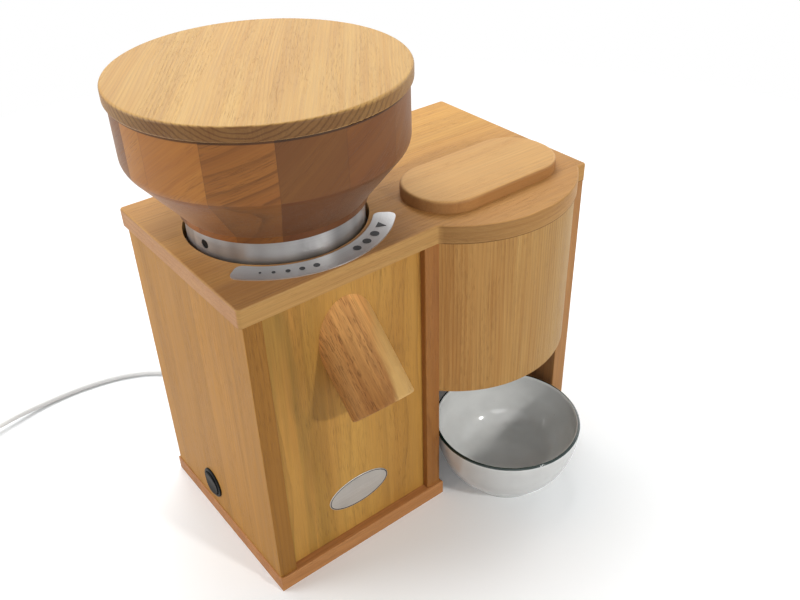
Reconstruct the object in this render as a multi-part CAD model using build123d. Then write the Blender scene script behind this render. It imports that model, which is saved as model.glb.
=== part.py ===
from build123d import *
import math
import os

# Electric grain mill with a flaker beside it, in a wooden case. Millimetres, +Z up, front at -Y.
# The origin is on the table, under the centre of the top plate's rectangle.

# ---- Case -------------------------------------------------------------------------------------
CASE_WIDTH = 330.0         # top plate, left to right
CASE_DEPTH = 184.6         # top plate, front to back, without the bow
CASE_HEIGHT = 279.0        # table to the upper face of the top plate
PLATE_T = 15.0             # top plate
SIDE_T = 15.0              # left and right side panels
DIVIDER_T = 14.0           # panel between the mill and the flaker
BASE_T = 14.0              # base plate under the mill
FRONT_T = 9.0              # front panel of the mill
REAR_T = 8.0               # rear panels
MILL_BAY = 139.0           # clear width inside the mill section
SIDE_OVERHANG = 2.2        # top plate beyond the side panels
REAR_OVERHANG = 5.0        # top plate beyond the rear panels
BASE_LIP = 2.2             # base plate beyond the panels at the front and back
FRONT_RECESS = 5.7         # front panel behind the side panels' front edges
CORNER_R = 3.0             # upright corners of the top plate
EDGE_R = 1.6               # softened edges of the top plate
BOARD_EDGE_R = 0.8         # softened front edges of the upright panels
BOARD_CLEAR = 0.2          # between a board's edge and the curved panel it meets
BATTEN = 12.0              # square section of the corner battens
BATTEN_DROP = 12.0         # top of the battens below the top plate
CUT = 1.0                  # how far a cut runs past the face it goes through

# ---- Bowed front of the flaker section ---------------------------------------------------------
BOW_SIDE = 1.45            # top plate's bow beyond the bowed panel at each end
BOW_RISE = 33.5            # how far the bow stands out
BOW_INSET = 1.5            # bowed panel behind the top plate's edge
BOW_T = 8.0                # bowed panel
BOW_LAP = 5.5              # bowed panel over the right side panel's edge
BAY_HEIGHT = 120.0         # table to the lower edge of the bowed panel
CEILING_T = 8.0            # board over the bowl bay
CEILING_RISE = 6.0         # ceiling above the lower edge of the bowed panel
LEDGE = 10.0               # square section of the ceiling's two ledges

# ---- Mill: chamber, stones, drive --------------------------------------------------------------
CHAMBER_SIDE = 3.5         # between the chamber and the panels beside it
CHAMBER_WALL = 4.5
CHAMBER_FLOOR = 5.0
PORT_CLEAR = 4.4           # top plate's hole outside the chamber's wall
FLANGE_T = 6.0             # chamber's flange under the top plate
FLANGE_SIDE = 0.5          # between the flange and the panels beside it
FLANGE_END = 1.6           # between the flange and the front and rear panels
FLANGE_SCREW_SIDE = 8.0    # flange's screws from the bay's sides
FLANGE_SCREW_END = 8.0     # flange's screws from the front and rear panels
COLLAR_H = 14.0            # threaded collar at the top of the chamber
COLLAR_WALL = 9.0          # chamber's outside to the stone holder's thread
THREAD_CLEAR = 0.3
STONE_R = 42.5
STONE_T = 20.0
STONE_GAP = 0.5            # between the stones at the finest setting
STONE_DROP = 32.0          # grinding face of the upper stone below the top plate
EYE_R = 15.0               # hole through the upper stone
EYE_CHAMFER = 6.6          # mouth of the eye in the upper stone's grinding face
HOLDER_SHOULDER = 3.7      # stone holder above its thread, beyond the thread
HOLDER_BORE = 1.0          # holder's hole wider than the eye
HOLDER_RIM = 5.0           # rim round the upper stone
RIM_DEPTH = 14.0           # how much of the upper stone the rim holds
SEAL_T = 2.0
SEAL_BORE = 1.0            # seal's hole wider than the thread
SEAL_CLEAR = 0.3
CARRIER_SIDE = 4.5         # between the stone carrier and the chamber's wall
CARRIER_BELOW = 3.5        # between the stone carrier and the chamber's floor
CARRIER_T = 5.0
BLADE_SIDE = 1.5           # between the carrier's blades and the lower stone
BLADE_INSET = 0.5          # blades inside the carrier's rim
BLADE_H = 14.0
BLADE_T = 2.0
BLADE_COUNT = 8
SHAFT_R = 7.5
HUB_R = 11.8               # carrier's hub through the lower stone
HUB_CLEAR = 0.2
HUB_HOLE_CLEAR = 1.0       # chamber's hole round the hub
HUB_DROP = 6.0             # hub below the lower stone's grinding face
CARRIER_SCREW_L = 12.0
CARRIER_SCREW_HEAD_H = 4.0
CARRIER_SCREW_LAP = 1.0    # screw's head beyond the shaft
RUN_CLEAR = 0.05           # radial clearance of a running fit
MOTOR_R = 56.0
MOTOR_RISE = 52.0          # motor above the base plate
MOTOR_WALL = 3.5
MOTOR_TOP_T = 8.0
END_CAP_T = 5.0
BEARING_R = 16.0
BEARING_T = 8.0
BEARING_SEAT = 4.0         # wall round and over each bearing
SHAFT_HOLE_CLEAR = 1.0     # between the shaft and the covers it goes through
STATOR_DROP = 34.0         # stator below the motor's top face
STATOR_RISE = 23.0         # stator above the motor's lower end
ROTOR_R = 32.0
AIR_GAP = 0.6
FAN_R = 40.0
FAN_H = 12.0
FAN_GAP = 4.0              # fan below the motor's end cap
FAN_BLADES = 9
FAN_DISC_T = 2.0
FAN_HUB_WALL = 4.0
FAN_BLADE_INSET = 1.0      # fan's blades inside its disc's rim
BOLT_R = 2.5
BOLT_HEAD_R = 4.2
BOLT_HEAD_H = 3.0
BOLT_CIRCLE_R = 46.0

# ---- Hopper ------------------------------------------------------------------------------------
RING_WALL = 6.8            # bare metal ring round the stone holder
RING_CLEAR = 1.0           # ring above the seal
NECK_RISE = 17.0           # underside of the wooden hopper above the top plate
NECK_LAP = 3.2             # wooden hopper's underside beyond the ring
FOOT_RIM_H = 5.0           # rim at the wooden hopper's underside
FOOT_RIM_LEAN = 0.5        # how far that rim leans out
HOPPER_R = 103.8           # outside of the hopper's upright wall
HOPPER_WALL = 6.0
HOPPER_SLOPE_H = 46.0      # underside to where the slope turns upright
HOPPER_UPRIGHT_H = 43.4
HOPPER_EDGE_R = 1.0        # rounding of the upper rim
THROAT_R = 20.0            # hole in the hopper's floor
HOPPER_FLOOR = 7.0
KNEE_R = 12.0              # rounding of the knee
LID_LAP = 2.6              # lid beyond the hopper's wall
LID_T = 11.0
LID_PLUG_H = 7.0           # locating disc under the lid
LID_PLUG_CLEAR = 1.0
LID_EDGE_R = 2.2
POINTER_ANGLE = -169.0     # pointer screw on the ring, in degrees from +X
POINTER_R = 3.6
POINTER_DROP = 2.0         # pointer below the middle of the visible ring
POINTER_SUNK = 0.5         # pointer's end inside the ring's face
SCREW_CIRCLE_R = 36.0      # screws through the hopper's floor
SCREW_R = 2.0
SCREW_HEAD_R = 4.0
SCREW_HEAD_H = 3.0
SCREW_LENGTH = 24.0

# ---- Spout, scale, badge, switch ---------------------------------------------------------------
SPOUT_TILT = 44.5          # degrees below the horizontal
SPOUT_R = 25.3
SPOUT_BORE_R = 15.0
SPOUT_LENGTH = 58.5        # along the axis, out of the front panel
SPOUT_DROP = 49.2          # where the axis meets the front panel, below the top plate
SPOUT_EDGE_R = 2.0
SCALE_GAP = 3.2            # scale plate from the top plate's hole
SCALE_W = 16.9
SCALE_FROM = -143.0
SCALE_TO = -38.0
SCALE_T = 0.8
BADGE_HALF_W = 29.6
BADGE_HALF_H = 15.2
BADGE_T = 0.8
BADGE_Z = 55.4
SWITCH_Y = 15.3
SWITCH_Z = 37.7
SWITCH_R = 13.9            # bezel
BEZEL_T = 1.6
BEZEL_LIP = 1.5            # bezel beyond the hole in the side panel
SWITCH_WALL = 1.0
SWITCH_DEPTH = 24.0
ROCKER_T = 4.6
ROCKER_PROUD = 1.8         # rocker beyond the bezel
ROCKER_CLEAR = 0.8
ROCKER_BELOW = 2.6         # room under the rocker
ROCKER_PIN_R = 1.2
PIN_REACH = 0.6            # rocker's pin inside the housing's wall
PIN_END_CLEAR = 0.3

# ---- Capacitor, strain relief, vents -----------------------------------------------------------
CAPACITOR_R = 15.0
CAPACITOR_CLEAR = 3.0      # capacitor below the motor's end cap
CAPACITOR_IN = 5.0         # capacitor's side past the batten's, away from the corner
CAPACITOR_EDGE_R = 2.0
VENT_COUNT = 8
VENT_W = 60.0
VENT_H = 3.5
VENT_PITCH = 9.0
GLAND_X = -32.0
GLAND_Z = 24.0
GLAND_HOLE_R = 6.2
GLAND_FLANGE_LAP = 2.8     # flanges beyond the hole
GLAND_NUT_T = 4.0          # flange inside the case
GLAND_FLANGE_T = 3.0       # flange outside the case
GLAND_TAIL = 25.0          # flange and tapered sleeve behind the rear panel
GLAND_SLEEVE_WALL = 1.0    # round the cord at the sleeve's end

# ---- Flaker ------------------------------------------------------------------------------------
FLAKER_BACK = 37.8         # middle of the rollers behind the side panels' front edges
FEED_SIDE = 18.55          # feed opening from the right side panel
FEED_END = 1.0             # feed opening inside the flaker's plates
FEED_R = 12.0
FLAKER_LID_LAP = 2.6       # lid over the right side panel
FLAKER_LID_D = 71.0
FLAKER_LID_STRAIGHT = 3.0  # straight part of the lid's rounded ends
FLAKER_LID_T = 10.0
FLAKER_LID_EDGE_R = 2.6
FLAKER_PLUG_H = 7.0
FLAKER_PLUG_CLEAR = 1.0
ROLLER_R = 19.0
ROLLER_GAP = 0.4
ROLLER_L = 46.0            # clear distance between the flaker's plates
ROLLER_DROP = 64.0         # roller axes below the top plate
ROLLER_END_CLEAR = 0.3
JOURNAL_R = 8.0
BUSH_R = 11.0
FLAKER_PLATE_T = 6.0
FLAKER_PLATE_EDGE = 3.2    # plates beyond the spacer bars
FLAKER_PLATE_BELOW = 24.0  # plates below the roller axes
FOOT_T = 3.0               # plates' feet under the top plate
FOOT_W = 14.0
SPACER_R = 4.0
SPACER_SIDE = 2.8          # spacer bars' axes beyond the rollers
FUNNEL_WALL = 1.5
FUNNEL_NECK = 8.0          # clear width of the funnel's mouth over the nip
FUNNEL_SIDE = 2.0          # funnel inside the feed opening at each side
FUNNEL_CLEAR = 0.6         # funnel's mouth from the rollers
FUNNEL_END_CLEAR = 0.3     # funnel from the flaker's plates
GEAR_TEETH = 24
GEAR_ADDENDUM = 0.85       # in modules
GEAR_DEDENDUM = 1.25       # in modules
GEAR_ROOT_SHARE = 0.62     # of the pitch, which a tooth takes at its root
GEAR_TIP_SHARE = 0.18      # of the pitch, which a tooth takes at its tip
GEAR_W = 8.0
GEAR_SHAFT_R = 6.0
GEAR_SIDE_CLEAR = 0.4
GEARBOX_HALF = 28.0
GEARBOX_L = 30.0
GEARBOX_CORNER = 5.0
GEARBOX_GAP = 11.5         # gearbox behind the flaker's rear plate
POST_R = 4.0
POST_OFFSET = 23.5
SHAFT_REACH = 18.0         # roller shaft inside the gearbox
SHAFT_END_CLEAR = 1.0
FLAKER_MOTOR_R = 28.0
FLAKER_MOTOR_END = 9.3     # flaker's motor in front of the rear panel
CHUTE_HALF_W = 30.0
CHUTE_HALF_D = 22.0
CHUTE_WALL = 1.5
CHUTE_BELOW = 3.0          # chute's top below the rollers
CHUTE_FLANGE = 8.0

# ---- Bowl --------------------------------------------------------------------------------------
BOWL_LEFT = 1.8            # between the bowl and the divider panel, once it is pushed in
BOWL_RIGHT = 10.2          # between the bowl and the right side panel
BOWL_OUT = 14.9            # bowl's middle in front of the side panels
BOWL_H = 62.0
BOWL_BULGE = 5.5           # how far the wall swells beyond a straight slope
BOWL_WALL = 3.5
BOWL_FOOT_R = 39.5
BOWL_FOOT_H = 4.0

# ---- Mains cord --------------------------------------------------------------------------------
CORD_R = 3.0
COIL_MID_R = 33.0          # middle of the turns
COIL_LAYERS = 3            # layers of two turns side by side
COIL_X = -61.7
COIL_Y = 222.3
PLUG_L = 38.0
PLUG_W = 35.0
PLUG_T = 14.0
PLUG_CORNER_R = 6.0
PLUG_EDGE_R = 2.0
PIN_R = 2.0
PIN_L = 19.0
PIN_PITCH = 19.0

# ---- Screws ------------------------------------------------------------------------------------
WOOD_SCREW_R = 1.6
WOOD_SCREW_HEAD_R = 3.2
WOOD_SCREW_L = 13.0
WOOD_SCREW_HEAD_H = 2.0

# ---- Places worked out from the sizes ----------------------------------------------------------
PLATE_Z = CASE_HEIGHT - PLATE_T
LEFT_OUT = -CASE_WIDTH / 2 + SIDE_OVERHANG
LEFT_IN = LEFT_OUT + SIDE_T
DIVIDER_LEFT = LEFT_IN + MILL_BAY
DIVIDER_RIGHT = DIVIDER_LEFT + DIVIDER_T
RIGHT_OUT = CASE_WIDTH / 2 - SIDE_OVERHANG
RIGHT_IN = RIGHT_OUT - SIDE_T
SIDE_FRONT = -CASE_DEPTH / 2
SIDE_REAR = CASE_DEPTH / 2 - REAR_OVERHANG
REAR_IN = SIDE_REAR - REAR_T
FRONT_FACE = SIDE_FRONT + FRONT_RECESS
FRONT_IN = FRONT_FACE + FRONT_T
MILL_X = (LEFT_IN + DIVIDER_LEFT) / 2
FLAKER_X = (DIVIDER_RIGHT + RIGHT_IN + BOW_LAP) / 2
FLAKER_Y = SIDE_FRONT + FLAKER_BACK
FLAKER_HALF = RIGHT_IN - FLAKER_X
BOW_HALF = FLAKER_HALF + BOW_LAP + BOW_SIDE
BOW_BACK = SIDE_FRONT + BOW_RISE
BOW_PLATE_R = (BOW_HALF ** 2 + BOW_RISE ** 2) / (2 * BOW_RISE)
BOW_Y = SIDE_FRONT - BOW_RISE + BOW_PLATE_R
BOW_OUT_R = BOW_PLATE_R - BOW_INSET
BOW_IN_R = BOW_OUT_R - BOW_T
CEILING_Z = BAY_HEIGHT + CEILING_RISE
CEILING_TOP = CEILING_Z + CEILING_T

CHAMBER_R = MILL_BAY / 2 - CHAMBER_SIDE
CHAMBER_IN_R = CHAMBER_R - CHAMBER_WALL
PORT_R = CHAMBER_R + PORT_CLEAR
THREAD_R = CHAMBER_R - COLLAR_WALL
HOLDER_R = THREAD_R + HOLDER_SHOULDER
CARRIER_R = CHAMBER_IN_R - CARRIER_SIDE
COLLAR_Z = PLATE_Z - COLLAR_H
UPPER_FACE_Z = PLATE_Z - STONE_DROP
UPPER_TOP_Z = UPPER_FACE_Z + STONE_T
LOWER_FACE_Z = UPPER_FACE_Z - STONE_GAP
CARRIER_TOP_Z = LOWER_FACE_Z - STONE_T
CARRIER_Z = CARRIER_TOP_Z - CARRIER_T
CHAMBER_FLOOR_Z = CARRIER_Z - CARRIER_BELOW
CHAMBER_Z = CHAMBER_FLOOR_Z - CHAMBER_FLOOR
HUB_TOP_Z = LOWER_FACE_Z - HUB_DROP
MOTOR_Z = BASE_T + MOTOR_RISE
END_CAP_Z = MOTOR_Z - END_CAP_T
STATOR_Z = MOTOR_Z + STATOR_RISE
STATOR_TOP_Z = CHAMBER_Z - STATOR_DROP
FAN_TOP_Z = END_CAP_Z - FAN_GAP
FAN_Z = FAN_TOP_Z - FAN_H
SEAL_TOP_Z = PLATE_Z + SEAL_T

RING_Z = SEAL_TOP_Z + RING_CLEAR
RING_R = HOLDER_R + RING_WALL
NECK_R = RING_R + NECK_LAP
NECK_Z = CASE_HEIGHT + NECK_RISE
HOPPER_FLOOR_Z = NECK_Z + HOPPER_FLOOR
HOPPER_KNEE_Z = NECK_Z + HOPPER_SLOPE_H
HOPPER_TOP_Z = HOPPER_KNEE_Z + HOPPER_UPRIGHT_H
HOPPER_IN_R = HOPPER_R - HOPPER_WALL
SCREW_SEAT_Z = HOPPER_FLOOR_Z - SCREW_HEAD_H
SCALE_INNER_R = PORT_R + SCALE_GAP
SCALE_OUTER_R = SCALE_INNER_R + SCALE_W
SPOUT_Z = PLATE_Z - SPOUT_DROP

BEZEL_X = LEFT_OUT - BEZEL_T
SWITCH_BODY_R = SWITCH_R - BEZEL_LIP
SWITCH_WELL_R = SWITCH_BODY_R - SWITCH_WALL
ROCKER_R = SWITCH_WELL_R - ROCKER_CLEAR
ROCKER_FRONT_X = BEZEL_X - ROCKER_PROUD
ROCKER_BACK_X = ROCKER_FRONT_X + ROCKER_T
ROCKER_PIVOT_X = ROCKER_BACK_X - ROCKER_PIN_R
GLAND_FLANGE_R = GLAND_HOLE_R + GLAND_FLANGE_LAP

ROLLER_Z = PLATE_Z - ROLLER_DROP
ROLLER_X = ROLLER_R + ROLLER_GAP / 2
SPACER_X = ROLLER_X + ROLLER_R + SPACER_SIDE
FLAKER_PLATE_HALF = SPACER_X + SPACER_R + FLAKER_PLATE_EDGE
GEAR_MODULE = 2 * ROLLER_X / GEAR_TEETH
FLAKER_FRONT_Y = FLAKER_Y - ROLLER_L / 2
FLAKER_BACK_Y = FLAKER_Y + ROLLER_L / 2
PLATE_FRONT_Y = FLAKER_FRONT_Y - FLAKER_PLATE_T
PLATE_BACK_Y = FLAKER_BACK_Y + FLAKER_PLATE_T
GEAR_Y = PLATE_BACK_Y + GEAR_SIDE_CLEAR
GEARBOX_X = FLAKER_X - ROLLER_X
GEARBOX_Y = PLATE_BACK_Y + GEARBOX_GAP
FLAKER_MOTOR_Y = GEARBOX_Y + GEARBOX_L
FUNNEL_HALF_NECK = FUNNEL_NECK / 2 + FUNNEL_WALL
FUNNEL_Z = ROLLER_Z + math.sqrt((ROLLER_R + FUNNEL_CLEAR) ** 2 - (ROLLER_X - FUNNEL_HALF_NECK) ** 2)
CHUTE_TOP_Z = ROLLER_Z - ROLLER_R - CHUTE_BELOW
FEED_W = 2 * (FLAKER_HALF - FEED_SIDE)
FEED_D = ROLLER_L - 2 * FEED_END
FLAKER_LID_W = 2 * (FLAKER_HALF + FLAKER_LID_LAP)
FLAKER_LID_R = (FLAKER_LID_D - FLAKER_LID_STRAIGHT) / 2
BOWL_R = (RIGHT_IN - DIVIDER_RIGHT - BOWL_LEFT - BOWL_RIGHT) / 2
BOWL_X = DIVIDER_RIGHT + BOWL_LEFT + BOWL_R
BOWL_Y = SIDE_FRONT - BOWL_OUT


# ---- Helpers -----------------------------------------------------------------------------------
def block(x0, x1, y0, y1, z0, z1):
    return Pos((x0 + x1) / 2, (y0 + y1) / 2, (z0 + z1) / 2) * Box(x1 - x0, y1 - y0, z1 - z0)


def post(x, y, z0, z1, radius):
    return Pos(x, y, (z0 + z1) / 2) * Cylinder(radius, z1 - z0)


def tube(x, y, z0, z1, outer, inner):
    return post(x, y, z0, z1, outer) - post(x, y, z0, z1, inner)


def rod_y(x, z, y0, y1, radius):
    return Pos(x, (y0 + y1) / 2, z) * Rot(90, 0, 0) * Cylinder(radius, y1 - y0)


def rod_x(y, z, x0, x1, radius):
    return Pos((x0 + x1) / 2, y, z) * Rot(0, 90, 0) * Cylinder(radius, x1 - x0)


def turned(outline, x, y):
    """A solid turned about the upright axis at x, y from a closed outline of (radius, z)."""
    wire = Polyline(*[(r, 0, z) for r, z in outline], close=True)
    return Pos(x, y, 0) * revolve(make_face(wire), Axis.Z)


def slab(width, depth, corner, z0, z1, x, y):
    """A board with rounded upright corners."""
    return Pos(x, y, z0) * extrude(RectangleRounded(width, depth, corner), z1 - z0)


def frustum_box(half_top, half_bottom, z_top, z_bottom, x, y):
    """A four-sided funnel shape between two rectangles given by their half sizes."""
    top = Pos(x, y, z_top) * Rectangle(2 * half_top[0], 2 * half_top[1])
    bottom = Pos(x, y, z_bottom) * Rectangle(2 * half_bottom[0], 2 * half_bottom[1])
    return loft([bottom, top])


def around(count, start=0.0):
    return [math.radians(start + 360.0 * i / count) for i in range(count)]


def group(solids):
    return Compound(children=list(solids))


# ---- Case --------------------------------------------------------------------------------------
def bow_disc(radius, z0, z1, back):
    """The part of an upright disc about the bow's centre that lies in front of y = back."""
    front = block(-CASE_WIDTH, CASE_WIDTH, BOW_Y - 2 * radius, back, z0, z1)
    return post(FLAKER_X, BOW_Y, z0, z1, radius) & front


def base_plate():
    board = block(LEFT_OUT - BASE_LIP / 2, DIVIDER_RIGHT + BASE_LIP, SIDE_FRONT - BASE_LIP,
                  SIDE_REAR + BASE_LIP, 0, BASE_T)
    return fillet(board.edges().group_by(Axis.Z)[-1], BASE_LIP / 2 - 0.1)


def upright_panel(x0, x1, z0):
    """A panel from front to rear under the top plate, its two upright front edges softened."""
    board = block(x0, x1, SIDE_FRONT, SIDE_REAR, z0, PLATE_Z)
    return fillet(board.edges().filter_by(Axis.Z).group_by(Axis.Y)[0], BOARD_EDGE_R)


def left_side_panel():
    board = upright_panel(LEFT_OUT, LEFT_IN, BASE_T)
    return board - rod_x(SWITCH_Y, SWITCH_Z, LEFT_OUT - CUT, LEFT_IN + CUT, SWITCH_BODY_R)


def divider_panel():
    return upright_panel(DIVIDER_LEFT, DIVIDER_RIGHT, BASE_T)


def right_side_panel():
    board = upright_panel(RIGHT_IN, RIGHT_OUT, 0)
    rebate = block(RIGHT_IN - CUT, RIGHT_IN + BOW_LAP, SIDE_FRONT - CUT, BOW_BACK, BAY_HEIGHT, PLATE_Z + CUT)
    return board - (rebate - post(FLAKER_X, BOW_Y, 0, CASE_HEIGHT, BOW_IN_R - BOARD_CLEAR))


def mill_front_panel():
    board = block(LEFT_IN, DIVIDER_LEFT, FRONT_FACE, FRONT_IN, BASE_T, PLATE_Z)
    return board - spout_rod(SPOUT_R, -2 * SPOUT_LENGTH, 2 * SPOUT_LENGTH)


def mill_rear_panel():
    board = block(LEFT_IN, DIVIDER_LEFT, REAR_IN, SIDE_REAR, BASE_T, PLATE_Z)
    board -= rod_y(GLAND_X, GLAND_Z, REAR_IN - CUT, SIDE_REAR + CUT, GLAND_HOLE_R)
    for x, z in rear_screw_places():
        board -= rod_y(x, z, REAR_IN - CUT, SIDE_REAR + CUT, WOOD_SCREW_R)
    first = (MOTOR_Z + CHAMBER_Z - (VENT_COUNT - 1) * VENT_PITCH) / 2
    for row in range(VENT_COUNT):
        z = first + row * VENT_PITCH
        board -= block(MILL_X - VENT_W / 2, MILL_X + VENT_W / 2, REAR_IN - CUT, SIDE_REAR + CUT,
                       z - VENT_H / 2, z + VENT_H / 2)
    return board


def flaker_rear_panel():
    board = block(DIVIDER_RIGHT, RIGHT_IN, REAR_IN, SIDE_REAR, 0, PLATE_Z)
    return board - block(DIVIDER_RIGHT - CUT, DIVIDER_RIGHT + BASE_LIP, REAR_IN - CUT, SIDE_REAR + CUT,
                         -CUT, BASE_T)


def bow_front_panel():
    shell = bow_disc(BOW_OUT_R, BAY_HEIGHT, PLATE_Z, BOW_BACK)
    shell -= post(FLAKER_X, BOW_Y, BAY_HEIGHT - CUT, PLATE_Z + CUT, BOW_IN_R)
    return shell & block(DIVIDER_RIGHT, RIGHT_IN + BOW_LAP, BOW_Y - 2 * BOW_OUT_R, BOW_BACK,
                         BAY_HEIGHT, PLATE_Z)


def bay_ceiling():
    back = block(DIVIDER_RIGHT, RIGHT_IN, FLAKER_Y, REAR_IN, CEILING_Z, CEILING_TOP)
    front = bow_disc(BOW_IN_R - BOARD_CLEAR, CEILING_Z, CEILING_TOP, FLAKER_Y) & block(
        DIVIDER_RIGHT, RIGHT_IN, BOW_Y - 2 * BOW_IN_R, FLAKER_Y, CEILING_Z, CEILING_TOP)
    return back + front - chute_block(0, CEILING_Z - CUT, CEILING_TOP + CUT)


def ceiling_ledges():
    left = block(DIVIDER_RIGHT, DIVIDER_RIGHT + LEDGE, FLAKER_Y, REAR_IN, CEILING_Z - LEDGE, CEILING_Z)
    right = block(RIGHT_IN - LEDGE, RIGHT_IN, FLAKER_Y, REAR_IN, CEILING_Z - LEDGE, CEILING_Z)
    return group([left, right])


def corner_battens():
    top = PLATE_Z - BATTEN_DROP
    battens = []
    for x0 in (LEFT_IN, DIVIDER_LEFT - BATTEN):
        for y0 in (FRONT_IN, REAR_IN - BATTEN):
            batten = block(x0, x0 + BATTEN, y0, y0 + BATTEN, BASE_T, top)
            for x, z in rear_screw_places():
                batten -= rod_y(x, z, SIDE_REAR - WOOD_SCREW_L, SIDE_REAR, WOOD_SCREW_R)
            battens.append(batten)
    return group(battens)


def top_plate():
    board = block(-CASE_WIDTH / 2, CASE_WIDTH / 2, SIDE_FRONT, -SIDE_FRONT, PLATE_Z, CASE_HEIGHT)
    board += bow_disc(BOW_PLATE_R, PLATE_Z, CASE_HEIGHT, SIDE_FRONT + CUT)
    board = fillet(board.edges().filter_by(Axis.Z), CORNER_R)
    board = fillet(board.faces().sort_by(Axis.Z)[-1].outer_wire().edges(), EDGE_R)
    board -= post(MILL_X, 0, PLATE_Z - CUT, CASE_HEIGHT + CUT, PORT_R)
    screws = [(x, y, FLANGE_T) for x, y in chamber_screw_places()]
    screws += [(x, y, FOOT_T) for x, y in flaker_foot_places()]
    for x, y, seat in screws:
        board -= post(x, y, PLATE_Z - seat, PLATE_Z - seat + WOOD_SCREW_L, WOOD_SCREW_R)
    return board - slab(FEED_W, FEED_D, FEED_R, PLATE_Z - CUT, CASE_HEIGHT + CUT, FLAKER_X, FLAKER_Y)


# ---- Mill --------------------------------------------------------------------------------------
def spout_rod(radius, start, end):
    """A rod on the spout's axis, from start to end along it, counted from the front panel's face."""
    tilt = math.radians(SPOUT_TILT)
    middle = (start + end) / 2
    place = Pos(MILL_X, FRONT_FACE - middle * math.cos(tilt), SPOUT_Z - middle * math.sin(tilt))
    return place * Rot(90 + SPOUT_TILT, 0, 0) * Cylinder(radius, end - start)


def spout():
    wood = spout_rod(SPOUT_R, -CHAMBER_R, SPOUT_LENGTH)
    wood = fillet(wood.edges().sort_by(Axis.Z)[0], SPOUT_EDGE_R)
    wood -= post(MILL_X, 0, BASE_T, CASE_HEIGHT, CHAMBER_R)
    wood &= block(LEFT_IN, DIVIDER_LEFT, FRONT_FACE - 2 * SPOUT_LENGTH, 0, BASE_T, PLATE_Z - FLANGE_T)
    return wood - spout_rod(SPOUT_BORE_R, -2 * CHAMBER_R, 2 * SPOUT_LENGTH)


def milling_chamber():
    half = MILL_BAY / 2 - FLANGE_SIDE
    body = block(MILL_X - half, MILL_X + half, FRONT_IN + FLANGE_END, REAR_IN - FLANGE_END,
                 PLATE_Z - FLANGE_T, PLATE_Z)
    body += post(MILL_X, 0, CHAMBER_Z, PLATE_Z, CHAMBER_R)
    body -= post(MILL_X, 0, CHAMBER_FLOOR_Z, COLLAR_Z, CHAMBER_IN_R)
    body -= post(MILL_X, 0, COLLAR_Z - CUT, PLATE_Z + CUT, THREAD_R + THREAD_CLEAR)
    body -= post(MILL_X, 0, CHAMBER_Z - CUT, PLATE_Z, HUB_R + HUB_HOLE_CLEAR)
    body -= spout_rod(SPOUT_BORE_R, -2 * CHAMBER_R, 2 * SPOUT_LENGTH) & block(
        LEFT_IN, DIVIDER_LEFT, -CHAMBER_R - CUT, -STONE_R, CHAMBER_Z, COLLAR_Z)
    for x, y in bolt_places():
        body -= post(x, y, CHAMBER_Z - CUT, CHAMBER_FLOOR_Z, BOLT_R)
        body -= post(x, y, CHAMBER_FLOOR_Z - BOLT_HEAD_H, CHAMBER_FLOOR_Z + CUT, BOLT_HEAD_R)
    for x, y in chamber_screw_places():
        body -= post(x, y, PLATE_Z - FLANGE_T - CUT, PLATE_Z + CUT, WOOD_SCREW_R)
    return body


def bolt_places():
    return [(MILL_X + BOLT_CIRCLE_R * math.cos(a), BOLT_CIRCLE_R * math.sin(a))
            for a in around(4, 45)]


def chamber_screw_places():
    columns = (LEFT_IN + FLANGE_SCREW_SIDE, DIVIDER_LEFT - FLANGE_SCREW_SIDE)
    rows = (FRONT_IN + FLANGE_SCREW_END, REAR_IN - FLANGE_SCREW_END)
    return [(x, y) for x in columns for y in rows]


def lower_stone():
    return tube(MILL_X, 0, CARRIER_TOP_Z, LOWER_FACE_Z, STONE_R, HUB_R + HUB_CLEAR)


def upper_stone():
    stone = tube(MILL_X, 0, UPPER_FACE_Z, UPPER_TOP_Z, STONE_R, EYE_R)
    mouth = stone.edges().filter_by(GeomType.CIRCLE).group_by(Axis.Z)[0].sort_by(SortBy.RADIUS)[0]
    return chamfer(mouth, EYE_CHAMFER)


def stone_holder():
    rim_r, bore_r = STONE_R + HOLDER_RIM, EYE_R + HOLDER_BORE
    rim_z, shoulder_z = UPPER_TOP_Z - RIM_DEPTH, SEAL_TOP_Z + SEAL_CLEAR
    outline = [
        (bore_r, UPPER_TOP_Z), (STONE_R, UPPER_TOP_Z), (STONE_R, rim_z), (rim_r, rim_z),
        (rim_r, COLLAR_Z), (THREAD_R, COLLAR_Z), (THREAD_R, shoulder_z), (HOLDER_R, shoulder_z),
        (HOLDER_R, NECK_Z), (bore_r, NECK_Z),
    ]
    holder = turned(outline, MILL_X, 0)
    for x, y in hopper_screw_places():
        holder -= post(x, y, HOPPER_FLOOR_Z - SCREW_LENGTH, NECK_Z + CUT, SCREW_R)
    return holder


def hopper_seal():
    return tube(MILL_X, 0, PLATE_Z, SEAL_TOP_Z, CHAMBER_R, THREAD_R + SEAL_BORE)


def stone_carrier():
    body = post(MILL_X, 0, CARRIER_Z, CARRIER_TOP_Z, CARRIER_R)
    body += post(MILL_X, 0, CARRIER_Z, HUB_TOP_Z, HUB_R)
    blade = block(STONE_R + BLADE_SIDE, CARRIER_R - BLADE_INSET, -BLADE_T / 2, BLADE_T / 2,
                  (CARRIER_Z + CARRIER_TOP_Z) / 2, CARRIER_TOP_Z + BLADE_H)
    for a in around(BLADE_COUNT):
        body += Pos(MILL_X, 0, 0) * Rot(0, 0, math.degrees(a)) * blade
    return body - post(MILL_X, 0, CARRIER_Z - CUT, HUB_TOP_Z + CUT, SHAFT_R)


def carrier_screw():
    head = post(MILL_X, 0, HUB_TOP_Z, HUB_TOP_Z + CARRIER_SCREW_HEAD_H, SHAFT_R + CARRIER_SCREW_LAP)
    return head + post(MILL_X, 0, HUB_TOP_Z - CARRIER_SCREW_L, HUB_TOP_Z, BOLT_R)


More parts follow.
